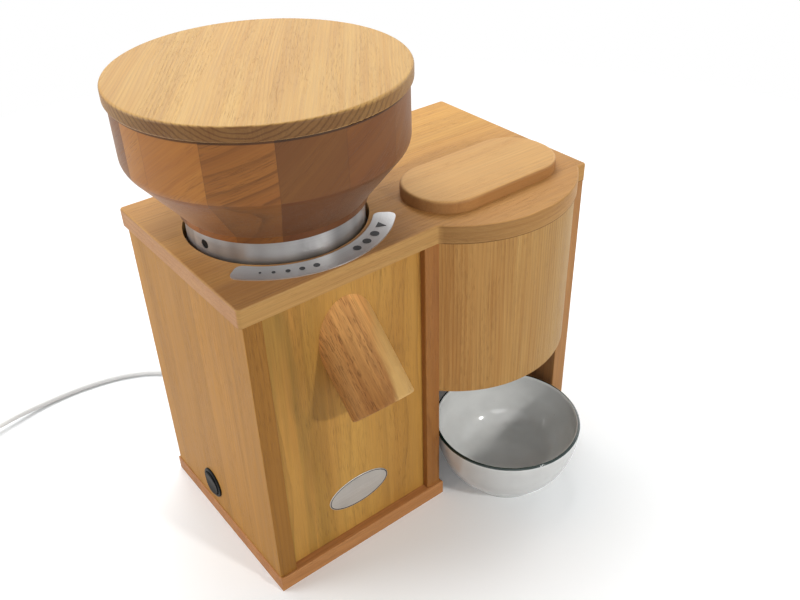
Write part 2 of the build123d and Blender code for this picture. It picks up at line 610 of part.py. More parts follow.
# ---- Mill motor --------------------------------------------------------------------------------
def motor_housing():
    seat_z = CHAMBER_Z - BEARING_SEAT - BEARING_T
    shell = post(MILL_X, 0, MOTOR_Z, CHAMBER_Z, MOTOR_R)
    shell -= post(MILL_X, 0, MOTOR_Z - CUT, CHAMBER_Z - MOTOR_TOP_T, MOTOR_R - MOTOR_WALL)
    shell += post(MILL_X, 0, seat_z, CHAMBER_Z, BEARING_R + BEARING_SEAT)
    shell -= post(MILL_X, 0, seat_z - CUT, seat_z + BEARING_T, BEARING_R)
    shell -= post(MILL_X, 0, seat_z, CHAMBER_Z + CUT, SHAFT_R + SHAFT_HOLE_CLEAR)
    for x, y in bolt_places():
        shell -= post(x, y, CHAMBER_Z - MOTOR_TOP_T - CUT, CHAMBER_Z + CUT, BOLT_R)
    return shell


def motor_end_cap():
    cap = post(MILL_X, 0, END_CAP_Z, MOTOR_Z, MOTOR_R)
    cap += post(MILL_X, 0, MOTOR_Z, MOTOR_Z + BEARING_T, BEARING_R + BEARING_SEAT)
    cap -= post(MILL_X, 0, MOTOR_Z, MOTOR_Z + BEARING_T + CUT, BEARING_R)
    return cap - post(MILL_X, 0, END_CAP_Z - CUT, MOTOR_Z + CUT, SHAFT_R + SHAFT_HOLE_CLEAR)


def motor_bearings():
    places = (CHAMBER_Z - BEARING_SEAT - BEARING_T, MOTOR_Z)
    return group([tube(MILL_X, 0, z, z + BEARING_T, BEARING_R, SHAFT_R + RUN_CLEAR) for z in places])


def motor_stator():
    return tube(MILL_X, 0, STATOR_Z, STATOR_TOP_Z, MOTOR_R - MOTOR_WALL, ROTOR_R + AIR_GAP)


def motor_rotor():
    return tube(MILL_X, 0, STATOR_Z, STATOR_TOP_Z, ROTOR_R, SHAFT_R)


def motor_shaft():
    shaft = post(MILL_X, 0, FAN_Z, HUB_TOP_Z, SHAFT_R)
    return shaft - post(MILL_X, 0, HUB_TOP_Z - CARRIER_SCREW_L, HUB_TOP_Z + CUT, BOLT_R)


def motor_fan():
    body = post(MILL_X, 0, FAN_Z, FAN_TOP_Z, SHAFT_R + FAN_HUB_WALL)
    body += post(MILL_X, 0, FAN_TOP_Z - FAN_DISC_T, FAN_TOP_Z, FAN_R)
    blade = block(SHAFT_R + FAN_HUB_WALL / 2, FAN_R - FAN_BLADE_INSET, -BLADE_T / 2, BLADE_T / 2,
                  FAN_Z, FAN_TOP_Z - FAN_DISC_T / 2)
    for a in around(FAN_BLADES):
        body += Pos(MILL_X, 0, 0) * Rot(0, 0, math.degrees(a)) * blade
    return body - post(MILL_X, 0, FAN_Z - CUT, FAN_TOP_Z + CUT, SHAFT_R)


def motor_bolts():
    bolts = []
    head_z = CHAMBER_FLOOR_Z - BOLT_HEAD_H
    for x, y in bolt_places():
        bolts.append(post(x, y, head_z, CHAMBER_FLOOR_Z, BOLT_HEAD_R)
                     + post(x, y, CHAMBER_Z - MOTOR_TOP_T, head_z, BOLT_R))
    return group(bolts)


# ---- Hopper ------------------------------------------------------------------------------------
def hopper_bowl():
    outer = [
        (0, NECK_Z), (NECK_R, NECK_Z), (NECK_R + FOOT_RIM_LEAN, NECK_Z + FOOT_RIM_H),
        (HOPPER_R, HOPPER_KNEE_Z), (HOPPER_R, HOPPER_TOP_Z), (0, HOPPER_TOP_Z),
    ]
    body = turned(outer, MILL_X, 0)
    knee = body.edges().filter_by(lambda e: abs(e.center().Z - HOPPER_KNEE_Z) < BOARD_CLEAR)
    body = fillet(knee.filter_by(GeomType.CIRCLE), KNEE_R)
    inner = [
        (0, HOPPER_FLOOR_Z), (THROAT_R, HOPPER_FLOOR_Z), (HOPPER_IN_R, HOPPER_KNEE_Z + HOPPER_WALL),
        (HOPPER_IN_R, HOPPER_TOP_Z + CUT), (0, HOPPER_TOP_Z + CUT),
    ]
    body -= turned(inner, MILL_X, 0)
    rim = body.edges().filter_by(GeomType.CIRCLE).group_by(Axis.Z)[-1].sort_by(SortBy.RADIUS)[-1]
    body = fillet(rim, HOPPER_EDGE_R)
    body -= post(MILL_X, 0, NECK_Z - CUT, HOPPER_KNEE_Z, THROAT_R)
    for x, y in hopper_screw_places():
        body -= post(x, y, NECK_Z - CUT, HOPPER_FLOOR_Z, SCREW_R)
        body -= post(x, y, SCREW_SEAT_Z, HOPPER_KNEE_Z, SCREW_HEAD_R)
    return body


def hopper_lid():
    lid = post(MILL_X, 0, HOPPER_TOP_Z, HOPPER_TOP_Z + LID_T, HOPPER_R + LID_LAP)
    lid = fillet(lid.edges().filter_by(GeomType.CIRCLE), LID_EDGE_R)
    return lid + post(MILL_X, 0, HOPPER_TOP_Z - LID_PLUG_H, HOPPER_TOP_Z + CUT,
                      HOPPER_IN_R - LID_PLUG_CLEAR)


def hopper_ring():
    ring = tube(MILL_X, 0, RING_Z, NECK_Z, RING_R, HOLDER_R)
    return ring - pointer_rod(HOLDER_R - CUT, RING_R + CUT)


def pointer_rod(r0, r1):
    rod = rod_x(0, (CASE_HEIGHT + NECK_Z) / 2 - POINTER_DROP, r0, r1, POINTER_R)
    return Pos(MILL_X, 0, 0) * Rot(0, 0, POINTER_ANGLE) * rod


def pointer_screw():
    return pointer_rod(HOLDER_R, RING_R - POINTER_SUNK) - post(MILL_X, 0, RING_Z, NECK_Z, HOLDER_R)


def hopper_screw_places():
    return [(MILL_X + SCREW_CIRCLE_R * math.cos(a), SCREW_CIRCLE_R * math.sin(a))
            for a in around(3, 90)]


def hopper_screws():
    screws = []
    for x, y in hopper_screw_places():
        screws.append(post(x, y, SCREW_SEAT_Z, HOPPER_FLOOR_Z, SCREW_HEAD_R)
                      + post(x, y, HOPPER_FLOOR_Z - SCREW_LENGTH, SCREW_SEAT_Z, SCREW_R))
    return group(screws)


# ---- Fittings on the case ----------------------------------------------------------------------
def scale_plate():
    band = tube(MILL_X, 0, CASE_HEIGHT, CASE_HEIGHT + SCALE_T, SCALE_OUTER_R, SCALE_INNER_R)
    reach = 2 * SCALE_OUTER_R
    a, b = math.radians(SCALE_FROM), math.radians(SCALE_TO)
    middle = (a + b) / 2
    corners = [(0, 0), (reach * math.cos(a), reach * math.sin(a)),
               (2 * reach * math.cos(middle), 2 * reach * math.sin(middle)),
               (reach * math.cos(b), reach * math.sin(b))]
    wedge = Pos(MILL_X, 0, CASE_HEIGHT) * extrude(make_face(Polyline(*corners, close=True)), SCALE_T)
    plate = band & wedge
    return fillet(plate.edges().filter_by(Axis.Z), (SCALE_OUTER_R - SCALE_INNER_R) / 3)


def name_badge():
    face = Pos(MILL_X, FRONT_FACE, BADGE_Z) * Rot(90, 0, 0) * Ellipse(BADGE_HALF_W, BADGE_HALF_H)
    return extrude(face, BADGE_T)


def switch_housing():
    body = rod_x(SWITCH_Y, SWITCH_Z, BEZEL_X, LEFT_OUT, SWITCH_R)
    body = fillet(body.edges().filter_by(GeomType.CIRCLE).sort_by(Axis.X)[0], BEZEL_T / 2)
    body += rod_x(SWITCH_Y, SWITCH_Z, LEFT_OUT, LEFT_OUT + SWITCH_DEPTH, SWITCH_BODY_R)
    body -= rod_x(SWITCH_Y, SWITCH_Z, BEZEL_X - CUT, ROCKER_BACK_X + ROCKER_BELOW, SWITCH_WELL_R)
    return body - rocker_pin(PIN_REACH + PIN_END_CLEAR, ROCKER_PIN_R + RUN_CLEAR)


def rocker_pin(reach, radius):
    """The rocker's pin, or the hole for it, which reaches into the wall round the well."""
    half = SWITCH_WELL_R + reach
    return rod_y(ROCKER_PIVOT_X, SWITCH_Z, SWITCH_Y - half, SWITCH_Y + half, radius)


def switch_rocker():
    body = rod_x(SWITCH_Y, SWITCH_Z, ROCKER_FRONT_X, ROCKER_BACK_X, ROCKER_R)
    body = fillet(body.edges().filter_by(GeomType.CIRCLE).sort_by(Axis.X)[0], ROCKER_CLEAR)
    return body + rocker_pin(PIN_REACH, ROCKER_PIN_R)


def capacitor():
    x = LEFT_IN + BATTEN + CAPACITOR_R - CAPACITOR_IN
    y = REAR_IN - BATTEN - CAPACITOR_R - CAPACITOR_IN
    can = post(x, y, BASE_T, END_CAP_Z - CAPACITOR_CLEAR, CAPACITOR_R)
    return fillet(can.edges().filter_by(GeomType.CIRCLE).sort_by(Axis.Z)[-1], CAPACITOR_EDGE_R)


def strain_relief():
    sleeve_y, end_y = SIDE_REAR + GLAND_FLANGE_T, SIDE_REAR + GLAND_TAIL
    body = rod_y(GLAND_X, GLAND_Z, REAR_IN - GLAND_NUT_T, REAR_IN, GLAND_FLANGE_R)
    body += rod_y(GLAND_X, GLAND_Z, REAR_IN, SIDE_REAR, GLAND_HOLE_R)
    body += rod_y(GLAND_X, GLAND_Z, SIDE_REAR, sleeve_y, GLAND_FLANGE_R)
    sleeve = Cone(GLAND_HOLE_R, CORD_R + GLAND_SLEEVE_WALL, end_y - sleeve_y)
    return body + Pos(GLAND_X, (sleeve_y + end_y) / 2, GLAND_Z) * Rot(-90, 0, 0) * sleeve


def rising_screw(x, y, seat):
    """A wood screw driven upwards, with its head under a seat."""
    return (post(x, y, seat - WOOD_SCREW_HEAD_H, seat, WOOD_SCREW_HEAD_R)
            + post(x, y, seat, seat + WOOD_SCREW_L, WOOD_SCREW_R))


def rear_screw_places():
    inset = BATTEN / 2
    columns = (LEFT_IN + inset, DIVIDER_LEFT - inset)
    rows = (BASE_T + 3 * inset, (BASE_T + PLATE_Z) / 2, PLATE_Z - BATTEN_DROP - inset)
    return [(x, z) for x in columns for z in rows]


def wood_screws():
    """The screws of the chamber's flange, the flaker's feet and the mill's rear panel."""
    screws = [rising_screw(x, y, PLATE_Z - FLANGE_T) for x, y in chamber_screw_places()]
    screws += [rising_screw(x, y, PLATE_Z - FOOT_T) for x, y in flaker_foot_places()]
    for x, z in rear_screw_places():
        screws.append(rod_y(x, z, SIDE_REAR, SIDE_REAR + WOOD_SCREW_HEAD_H, WOOD_SCREW_HEAD_R)
                      + rod_y(x, z, SIDE_REAR - WOOD_SCREW_L, SIDE_REAR, WOOD_SCREW_R))
    return group(screws)


# ---- Flaker ------------------------------------------------------------------------------------
def flaker_lid():
    z0, z1 = CASE_HEIGHT, CASE_HEIGHT + FLAKER_LID_T
    lid = slab(FLAKER_LID_W, FLAKER_LID_D, FLAKER_LID_R, z0, z1, FLAKER_X, FLAKER_Y)
    lid = fillet(lid.edges().group_by(Axis.Z)[-1], FLAKER_LID_EDGE_R)
    gap = 2 * FLAKER_PLUG_CLEAR
    return lid + slab(FEED_W - gap, FEED_D - gap, FEED_R - FLAKER_PLUG_CLEAR, z0 - FLAKER_PLUG_H,
                      z0 + CUT, FLAKER_X, FLAKER_Y)


def flaker_funnel():
    half_depth = ROLLER_L / 2 - FUNNEL_END_CLEAR
    top, bottom = (FEED_W / 2 - FUNNEL_SIDE + FUNNEL_WALL, half_depth), (FUNNEL_HALF_NECK, half_depth)
    inner_top, inner_bottom = [[half - FUNNEL_WALL for half in halves] for halves in (top, bottom)]
    outer = frustum_box(top, bottom, PLATE_Z, FUNNEL_Z, FLAKER_X, FLAKER_Y)
    return outer - frustum_box(inner_top, inner_bottom, PLATE_Z, FUNNEL_Z, FLAKER_X, FLAKER_Y)


def flaker_plate(y0, y1, foot_y0, foot_y1):
    plate = block(FLAKER_X - FLAKER_PLATE_HALF, FLAKER_X + FLAKER_PLATE_HALF, y0, y1,
                  ROLLER_Z - FLAKER_PLATE_BELOW, PLATE_Z)
    plate += block(FLAKER_X - FLAKER_PLATE_HALF, FLAKER_X + FLAKER_PLATE_HALF, foot_y0, foot_y1,
                   PLATE_Z - FOOT_T, PLATE_Z)
    for side in (-1, 1):
        plate -= rod_y(FLAKER_X + side * ROLLER_X, ROLLER_Z, y0 - CUT, y1 + CUT, BUSH_R)
    for x, y in flaker_foot_places():
        plate -= post(x, y, PLATE_Z - FOOT_T - CUT, PLATE_Z + CUT, WOOD_SCREW_R)
    return plate


def flaker_front_plate():
    plate = flaker_plate(PLATE_FRONT_Y, FLAKER_FRONT_Y, PLATE_FRONT_Y - FOOT_W, PLATE_FRONT_Y)
    return plate & post(FLAKER_X, BOW_Y, 0, PLATE_Z, BOW_IN_R - BOARD_CLEAR)


def flaker_rear_plate():
    return flaker_plate(FLAKER_BACK_Y, PLATE_BACK_Y, PLATE_BACK_Y, PLATE_BACK_Y + FOOT_W)


def flaker_foot_places():
    front = PLATE_FRONT_Y - FOOT_W / 2
    back = PLATE_BACK_Y + FOOT_W / 2
    return [(FLAKER_X + side * SPACER_X, y) for side in (-1, 1) for y in (front, back)]


def spacer_bars():
    bars = []
    for side in (-1, 1):
        for z in (ROLLER_Z - FLAKER_PLATE_BELOW + 2 * SPACER_R, ROLLER_Z + FLAKER_PLATE_BELOW):
            bars.append(rod_y(FLAKER_X + side * SPACER_X, z, FLAKER_FRONT_Y, FLAKER_BACK_Y, SPACER_R))
    return group(bars)


def roller(side, rear_end):
    x = FLAKER_X + side * ROLLER_X
    body = rod_y(x, ROLLER_Z, FLAKER_FRONT_Y + ROLLER_END_CLEAR, FLAKER_BACK_Y - ROLLER_END_CLEAR,
                 ROLLER_R)
    body += rod_y(x, ROLLER_Z, PLATE_FRONT_Y, PLATE_BACK_Y, JOURNAL_R)
    return body + rod_y(x, ROLLER_Z, PLATE_BACK_Y - CUT, rear_end, GEAR_SHAFT_R)


def roller_bushes():
    bushes = []
    for side in (-1, 1):
        x = FLAKER_X + side * ROLLER_X
        for y0, y1 in ((PLATE_FRONT_Y, FLAKER_FRONT_Y), (FLAKER_BACK_Y, PLATE_BACK_Y)):
            hole = rod_y(x, ROLLER_Z, y0 - CUT, y1 + CUT, JOURNAL_R + RUN_CLEAR)
            bushes.append(rod_y(x, ROLLER_Z, y0, y1, BUSH_R) - hole)
    return group(bushes)


def gear(side, phase):
    """A spur gear on a roller's shaft. Its tooth flanks are straight and leave room for backlash."""
    root_r = ROLLER_X - GEAR_DEDENDUM * GEAR_MODULE
    tip_r = ROLLER_X + GEAR_ADDENDUM * GEAR_MODULE
    pitch = 2 * math.pi / GEAR_TEETH
    root_half, tip_half = GEAR_ROOT_SHARE * pitch / 2, GEAR_TIP_SHARE * pitch / 2
    points = []
    for i in range(GEAR_TEETH):
        middle = (i + phase) * pitch
        for r, a in ((root_r, -root_half), (tip_r, -tip_half), (tip_r, tip_half), (root_r, root_half)):
            points.append((r * math.cos(middle + a), r * math.sin(middle + a)))
    outline = make_face(Polyline(*points, close=True))
    wheel = extrude(outline, GEAR_W) - Cylinder(GEAR_SHAFT_R, 2 * GEAR_W + CUT)
    return Pos(FLAKER_X + side * ROLLER_X, GEAR_Y + GEAR_W, ROLLER_Z) * Rot(90, 0, 0) * wheel


def flaker_gearbox():
    body = block(GEARBOX_X - GEARBOX_HALF, GEARBOX_X + GEARBOX_HALF, GEARBOX_Y, FLAKER_MOTOR_Y,
                 ROLLER_Z - GEARBOX_HALF, ROLLER_Z + GEARBOX_HALF)
    body = fillet(body.edges().filter_by(Axis.Y), GEARBOX_CORNER)
    for sx in (-1, 1):
        for sz in (-1, 1):
            body += rod_y(GEARBOX_X + sx * POST_OFFSET, ROLLER_Z + sz * POST_OFFSET, PLATE_BACK_Y,
                          GEARBOX_Y + CUT, POST_R)
    return body - rod_y(GEARBOX_X, ROLLER_Z, GEARBOX_Y - CUT, GEARBOX_Y + SHAFT_REACH + SHAFT_END_CLEAR,
                        GEAR_SHAFT_R + RUN_CLEAR)


def flaker_motor():
    return rod_y(GEARBOX_X, ROLLER_Z, FLAKER_MOTOR_Y, REAR_IN - FLAKER_MOTOR_END, FLAKER_MOTOR_R)


def chute_block(grow, z0, z1):
    """A block round the chute's middle, grow wider than the chute on every side."""
    half_w, half_d = CHUTE_HALF_W + grow, CHUTE_HALF_D + grow
    return block(FLAKER_X - half_w, FLAKER_X + half_w, FLAKER_Y - half_d, FLAKER_Y + half_d, z0, z1)


def flake_chute():
    body = chute_block(0, CEILING_Z, CHUTE_TOP_Z)
    body += chute_block(CHUTE_FLANGE, CEILING_TOP, CEILING_TOP + CHUTE_WALL)
    return body - chute_block(-CHUTE_WALL, CEILING_Z - CUT, CHUTE_TOP_Z + CUT)


def flake_bowl():
    def swelling(r0, z0, r1, z1):
        middle = ((r0 + r1) / 2 + BOWL_BULGE, 0, (z0 + z1) / 2 - BOWL_BULGE)
        return ThreePointArc((r0, 0, z0), middle, (r1, 0, z1))

    def straight(r0, z0, r1, z1):
        return Line((r0, 0, z0), (r1, 0, z1))

    rim_in, floor_z = BOWL_R - BOWL_WALL, BOWL_FOOT_H + BOWL_WALL
    foot_in = BOWL_FOOT_R - BOWL_WALL
    edges = [
        straight(0, BOWL_FOOT_H, foot_in, BOWL_FOOT_H),
        straight(foot_in, BOWL_FOOT_H, foot_in, 0),
        straight(foot_in, 0, BOWL_FOOT_R, 0),
        straight(BOWL_FOOT_R, 0, BOWL_FOOT_R, BOWL_FOOT_H),
        swelling(BOWL_FOOT_R, BOWL_FOOT_H, BOWL_R, BOWL_H),
        straight(BOWL_R, BOWL_H, rim_in, BOWL_H),
        swelling(foot_in, floor_z, rim_in, BOWL_H),
        straight(foot_in, floor_z, 0, floor_z),
        straight(0, floor_z, 0, BOWL_FOOT_H),
    ]
    return Pos(BOWL_X, BOWL_Y, 0) * revolve(make_face(Curve() + edges), Axis.Z)


# ---- Mains cord --------------------------------------------------------------------------------
# The near stretch leaves the strain relief, comes down to the table and joins the coil. The far
# stretch leaves the coil and runs over the table to the plug.
NEAR_ROUTE = [
    (GLAND_X, SIDE_REAR + GLAND_TAIL, GLAND_Z), (GLAND_X, 127.5, GLAND_Z), (-32.2, 143.5, 19),
    (-34, 159, 11), (-39.5, 173, 5), (-50, 185, 3), (-65, 191.5, 3),
]
RUN_SHARE = 0.45           # of the shorter run, which an arc takes at each turn
FAR_ROUTE = [
    (-86, 200, 3), (-100, 214, 3), (-118, 233, 3), (-139, 247, 3), (-163, 256, 3),
    (-196, 262, 3), (-234, 262, 3.5), (-272, 255, 7), (-292, 250, 7),
]


def cord(route):
    """A round cord along straight runs with an arc as large as its two runs allow at each turn."""
    spots = [Vector(*p) for p in route]
    radii = []
    for before, here, after in zip(spots, spots[1:], spots[2:]):
        run_in, run_out = here - before, after - here
        turn = math.radians(run_in.get_angle(run_out))
        radii.append(RUN_SHARE * min(run_in.length, run_out.length) / math.tan(turn / 2))
    path = FilletPolyline(*spots, radius=radii)
    start = Plane(origin=spots[0], z_dir=spots[1] - spots[0])
    solid = sweep(start * Circle(CORD_R), path=path)
    share = solid.volume / (math.pi * CORD_R ** 2 * path.length)
    print("cord radii", [round(r) for r in radii], "length", round(path.length),
          "volume over section times length", round(share, 4))
    return solid


def cord_coil():
    height = COIL_LAYERS * 2 * CORD_R
    return tube(COIL_X, COIL_Y, 0, height, COIL_MID_R + 2 * CORD_R, COIL_MID_R - 2 * CORD_R)


def plug_frame():
    end, before = Vector(*FAR_ROUTE[-1]), Vector(*FAR_ROUTE[-2])
    heading = math.degrees(math.atan2(end.Y - before.Y, end.X - before.X))
    return Pos(end.X, end.Y, PLUG_T / 2) * Rot(0, 0, heading)


def mains_plug():
    body = Pos(PLUG_L / 2, 0, 0) * Box(PLUG_L, PLUG_W, PLUG_T)
    body = fillet(body.edges().filter_by(Axis.Z), PLUG_CORNER_R)
    body = fillet(body.edges().group_by(Axis.Z)[-1] + body.edges().group_by(Axis.Z)[0], PLUG_EDGE_R)
    return plug_frame() * body


def plug_pins():
    pins = [rod_x(side * PIN_PITCH / 2, 0, PLUG_L, PLUG_L + PIN_L, PIN_R) for side in (-1, 1)]
    return group([plug_frame() * pin for pin in pins])


# ---- Sub-parts ---------------------------------------------------------------------------------
PARTS = {
    "base_plate": base_plate,
    "left_side_panel": left_side_panel,
    "divider_panel": divider_panel,
    "right_side_panel": right_side_panel,
    "mill_front_panel": mill_front_panel,
    "mill_rear_panel": mill_rear_panel,
    "flaker_rear_panel": flaker_rear_panel,
    "bow_front_panel": bow_front_panel,
    "bay_ceiling": bay_ceiling,
    "ceiling_ledges": ceiling_ledges,
    "corner_battens": corner_battens,
    "top_plate": top_plate,
    "spout": spout,
    "milling_chamber": milling_chamber,
    "lower_stone": lower_stone,
    "upper_stone": upper_stone,
    "stone_holder": stone_holder,
    "hopper_seal": hopper_seal,
    "stone_carrier": stone_carrier,
    "carrier_screw": carrier_screw,
    "motor_housing": motor_housing,
    "motor_end_cap": motor_end_cap,
    "motor_bearings": motor_bearings,
    "motor_stator": motor_stator,
    "motor_rotor": motor_rotor,
    "motor_shaft": motor_shaft,
    "motor_fan": motor_fan,
    "motor_bolts": motor_bolts,
    "hopper_bowl": hopper_bowl,
    "hopper_lid": hopper_lid,
    "hopper_ring": hopper_ring,
    "pointer_screw": pointer_screw,
    "hopper_screws": hopper_screws,
    "scale_plate": scale_plate,
    "name_badge": name_badge,
    "switch_housing": switch_housing,
    "switch_rocker": switch_rocker,
    "wood_screws": wood_screws,
    "capacitor": capacitor,
    "strain_relief": strain_relief,
    "flaker_lid": flaker_lid,
    "flaker_funnel": flaker_funnel,
    "flaker_front_plate": flaker_front_plate,
    "flaker_rear_plate": flaker_rear_plate,
    "spacer_bars": spacer_bars,
    "left_roller": lambda: roller(-1, GEARBOX_Y + SHAFT_REACH),
    "right_roller": lambda: roller(1, GEAR_Y + GEAR_W),
    "roller_bushes": roller_bushes,
    "left_gear": lambda: gear(-1, 0.0),
    "right_gear": lambda: gear(1, 0.5),
    "flaker_gearbox": flaker_gearbox,
    "flaker_motor": flaker_motor,
    "flake_chute": flake_chute,
    "flake_bowl": flake_bowl,
    "mains_cord_near": lambda: cord(NEAR_ROUTE),
    "mains_cord_far": lambda: cord(FAR_ROUTE),
    "cord_coil": cord_coil,
    "mains_plug": mains_plug,
    "plug_pins": plug_pins,
}

os.makedirs("parts", exist_ok=True)
for name, make in PARTS.items():
    export_step(make(), "parts/" + name + ".step")
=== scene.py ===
import math

import bmesh
import bpy
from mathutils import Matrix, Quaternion, Vector

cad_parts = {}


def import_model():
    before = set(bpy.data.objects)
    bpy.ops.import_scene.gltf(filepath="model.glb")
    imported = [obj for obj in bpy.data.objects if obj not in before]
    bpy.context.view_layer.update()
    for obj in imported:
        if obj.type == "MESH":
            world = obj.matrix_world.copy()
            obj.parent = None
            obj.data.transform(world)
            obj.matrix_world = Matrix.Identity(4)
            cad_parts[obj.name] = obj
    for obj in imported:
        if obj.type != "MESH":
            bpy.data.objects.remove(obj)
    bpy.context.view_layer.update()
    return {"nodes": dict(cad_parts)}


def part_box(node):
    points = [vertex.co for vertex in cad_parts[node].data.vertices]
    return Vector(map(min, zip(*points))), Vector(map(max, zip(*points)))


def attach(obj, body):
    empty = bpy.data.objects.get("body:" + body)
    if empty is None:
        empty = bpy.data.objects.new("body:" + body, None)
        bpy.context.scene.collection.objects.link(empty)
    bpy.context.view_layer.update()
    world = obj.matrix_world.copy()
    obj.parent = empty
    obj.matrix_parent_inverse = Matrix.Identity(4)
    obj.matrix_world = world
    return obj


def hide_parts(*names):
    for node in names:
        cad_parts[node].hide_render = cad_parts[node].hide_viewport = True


# Electric grain mill with a flaker in a wooden case. Metres, +Z up, front at -Y.
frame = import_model()
nodes = frame["nodes"]

# ---- Places and sizes, in metres ----------------------------------------------------------------
TABLE_Z = 0.0

# The hopper and all under it stand on one upright axis, at x = MILL_X and y = 0.
RING_LOW, RING_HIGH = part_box("hopper_ring")
HOPPER_LOW, HOPPER_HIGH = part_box("hopper_bowl")
MILL_X = (RING_LOW.x + RING_HIGH.x) / 2
HOPPER_R = (HOPPER_HIGH.x - HOPPER_LOW.x) / 2
HOPPER_TOP = HOPPER_HIGH.z
LID_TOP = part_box("hopper_lid")[1].z

# The hopper's staves stand on a ring of wood that ends at LOW_RING_Z. STAVE_JOINT is one joint's angle.
LOW_RING_Z = 0.342
STAVE_PITCH = math.radians(25.71)
STAVE_JOINT = math.radians(-116.2)
STAVE_WIDTH = HOPPER_R * STAVE_PITCH

FRONT_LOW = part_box("mill_front_panel")[0]
FRONT_LEFT, FRONT_FACE = FRONT_LOW.x, FRONT_LOW.y
SPOUT_TILT = math.radians(44.5)

# The bowed panel is a part of a cylinder of the radius BOW_R, whose axis is at BOW_X and BOW_Y.
BOW_LOW, BOW_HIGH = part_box("bow_front_panel")
BOW_R = 0.10033
BOW_X, BOW_Y = (BOW_LOW.x + BOW_HIGH.x) / 2, BOW_LOW.y + BOW_R

# The scale's marks lie at the distance MARK_R from the mill's axis.
SCALE_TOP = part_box("scale_plate")[1].z
MARK_R = 0.0818

BOWL_LOW, BOWL_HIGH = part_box("flake_bowl")
BOWL_MIDDLE, BOWL_TOP = (BOWL_LOW + BOWL_HIGH) / 2, BOWL_HIGH.z
BOWL_RIM, BOWL_FOOT, BOWL_WALL = 0.0653, 0.0395, 0.0035
CORD_D = 0.006


# ---- Node helpers -------------------------------------------------------------------------------
# Nearly all of a noise from 0 to 1 lies in this range.
NOISE_RANGE = (0.3, 0.7)


class Recipe:
    """A material under construction: its node tree, its surface shader and short ways to add nodes.

    What goes into a node is a number, a tuple or the output of another node.
    """

    def __init__(self, name, **sockets):
        self.material = bpy.data.materials.new(name)
        self.material.use_nodes = True
        self.tree = self.material.node_tree
        self.shader = self.tree.nodes["Principled BSDF"]
        self.feed(self.shader, {socket.replace("_", " "): value for socket, value in sockets.items()})
        place = self.add("ShaderNodeTexCoord")
        self.coords, self.facing = place.outputs["Object"], place.outputs["Normal"]

    def feed(self, node, slots):
        for slot, value in slots.items():
            if isinstance(value, bpy.types.NodeSocket):
                self.tree.links.new(value, node.inputs[slot])
            elif node.inputs[slot].type == "RGBA":
                node.inputs[slot].default_value = (*value, 1.0)
            else:
                node.inputs[slot].default_value = value

    def add(self, kind, slots=None, **settings):
        node = self.tree.nodes.new(kind)
        for key, value in settings.items():
            setattr(node, key, value)
        self.feed(node, slots or {})
        return node

    def math(self, operation, *values):
        return self.add("ShaderNodeMath", dict(enumerate(values)), operation=operation).outputs[0]

    def vector(self, operation, a, b):
        return self.add("ShaderNodeVectorMath", {0: a, 1: b}, operation=operation).outputs[0]

    def noise(self, coords, per_metre, detail=2.0, rough=0.5):
        """Noise from 0 to 1 whose features are 1/per_metre apart along each axis."""
        slots = {"Vector": self.vector("MULTIPLY", coords, per_metre), "Scale": 1.0,
                 "Detail": detail, "Roughness": rough}
        return self.add("ShaderNodeTexNoise", slots).outputs["Fac"]

    def random(self, number):
        """Three random values from a number, as a colour."""
        return self.add("ShaderNodeTexWhiteNoise", {"W": number}, noise_dimensions="1D").outputs["Color"]

    def split(self, vector):
        return self.add("ShaderNodeSeparateXYZ", {"Vector": vector}).outputs

    def join(self, x, y, z):
        return self.add("ShaderNodeCombineXYZ", {0: x, 1: y, 2: z}).outputs[0]

    def between(self, value, low, high, to_low=0.0, to_high=1.0):
        """The value's place between low and high, mapped to the range to_low to to_high."""
        slots = {"Value": value, "From Min": low, "From Max": high, "To Min": to_low, "To Max": to_high}
        return self.add("ShaderNodeMapRange", slots).outputs[0]

    def turn(self, vector, angle, axis):
        """The vector turned by an angle about an axis."""
        slots = {"Vector": vector, "Axis": axis, "Angle": angle}
        return self.add("ShaderNodeVectorRotate", slots).outputs[0]

    def length(self, a, b):
        """The length of a vector with the parts a and b."""
        return self.math("SQRT", self.math("MULTIPLY_ADD", a, a, self.math("MULTIPLY", b, b)))

    def swing(self, noise, width, about):
        """A value that a noise moves by up to half a width to each side."""
        return self.math("MULTIPLY_ADD", self.math("SUBTRACT", noise, 0.5), width, about)

    def mix(self, share, a, b, blend="MIX"):
        settings = {"data_type": "RGBA", "blend_type": blend, "clamp_factor": True}
        return self.add("ShaderNodeMix", {0: share, 6: a, 7: b}, **settings).outputs[2]

    def multiply(self, tone, tint):
        return self.mix(1.0, tone, tint, "MULTIPLY")

    def shade(self, tone, value):
        """The tone, lighter or darker by a value."""
        return self.multiply(tone, self.join(value, value, value))

    def tinted(self, tone, share, tint):
        """The tone, multiplied by a tint where share is 1."""
        return self.mix(share, tone, self.multiply(tone, tint))

    def colour(self, output):
        self.feed(self.shader, {"Base Color": output})

    def rough(self, output):
        self.feed(self.shader, {"Roughness": output})

    def bump(self, height, depth):
        node = self.add("ShaderNodeBump", {"Height": height, "Strength": 1.0, "Distance": depth})
        self.feed(self.shader, {"Normal": node.outputs[0]})


# ---- Wood ---------------------------------------------------------------------------------------
def srgb(red, green, blue):
    """A colour given in display values from 0 to 255, as the linear values that a shader takes."""
    return tuple((v / 255 / 12.92) if v < 11 else ((v / 255 + 0.055) / 1.055) ** 2.4
                 for v in (red, green, blue))


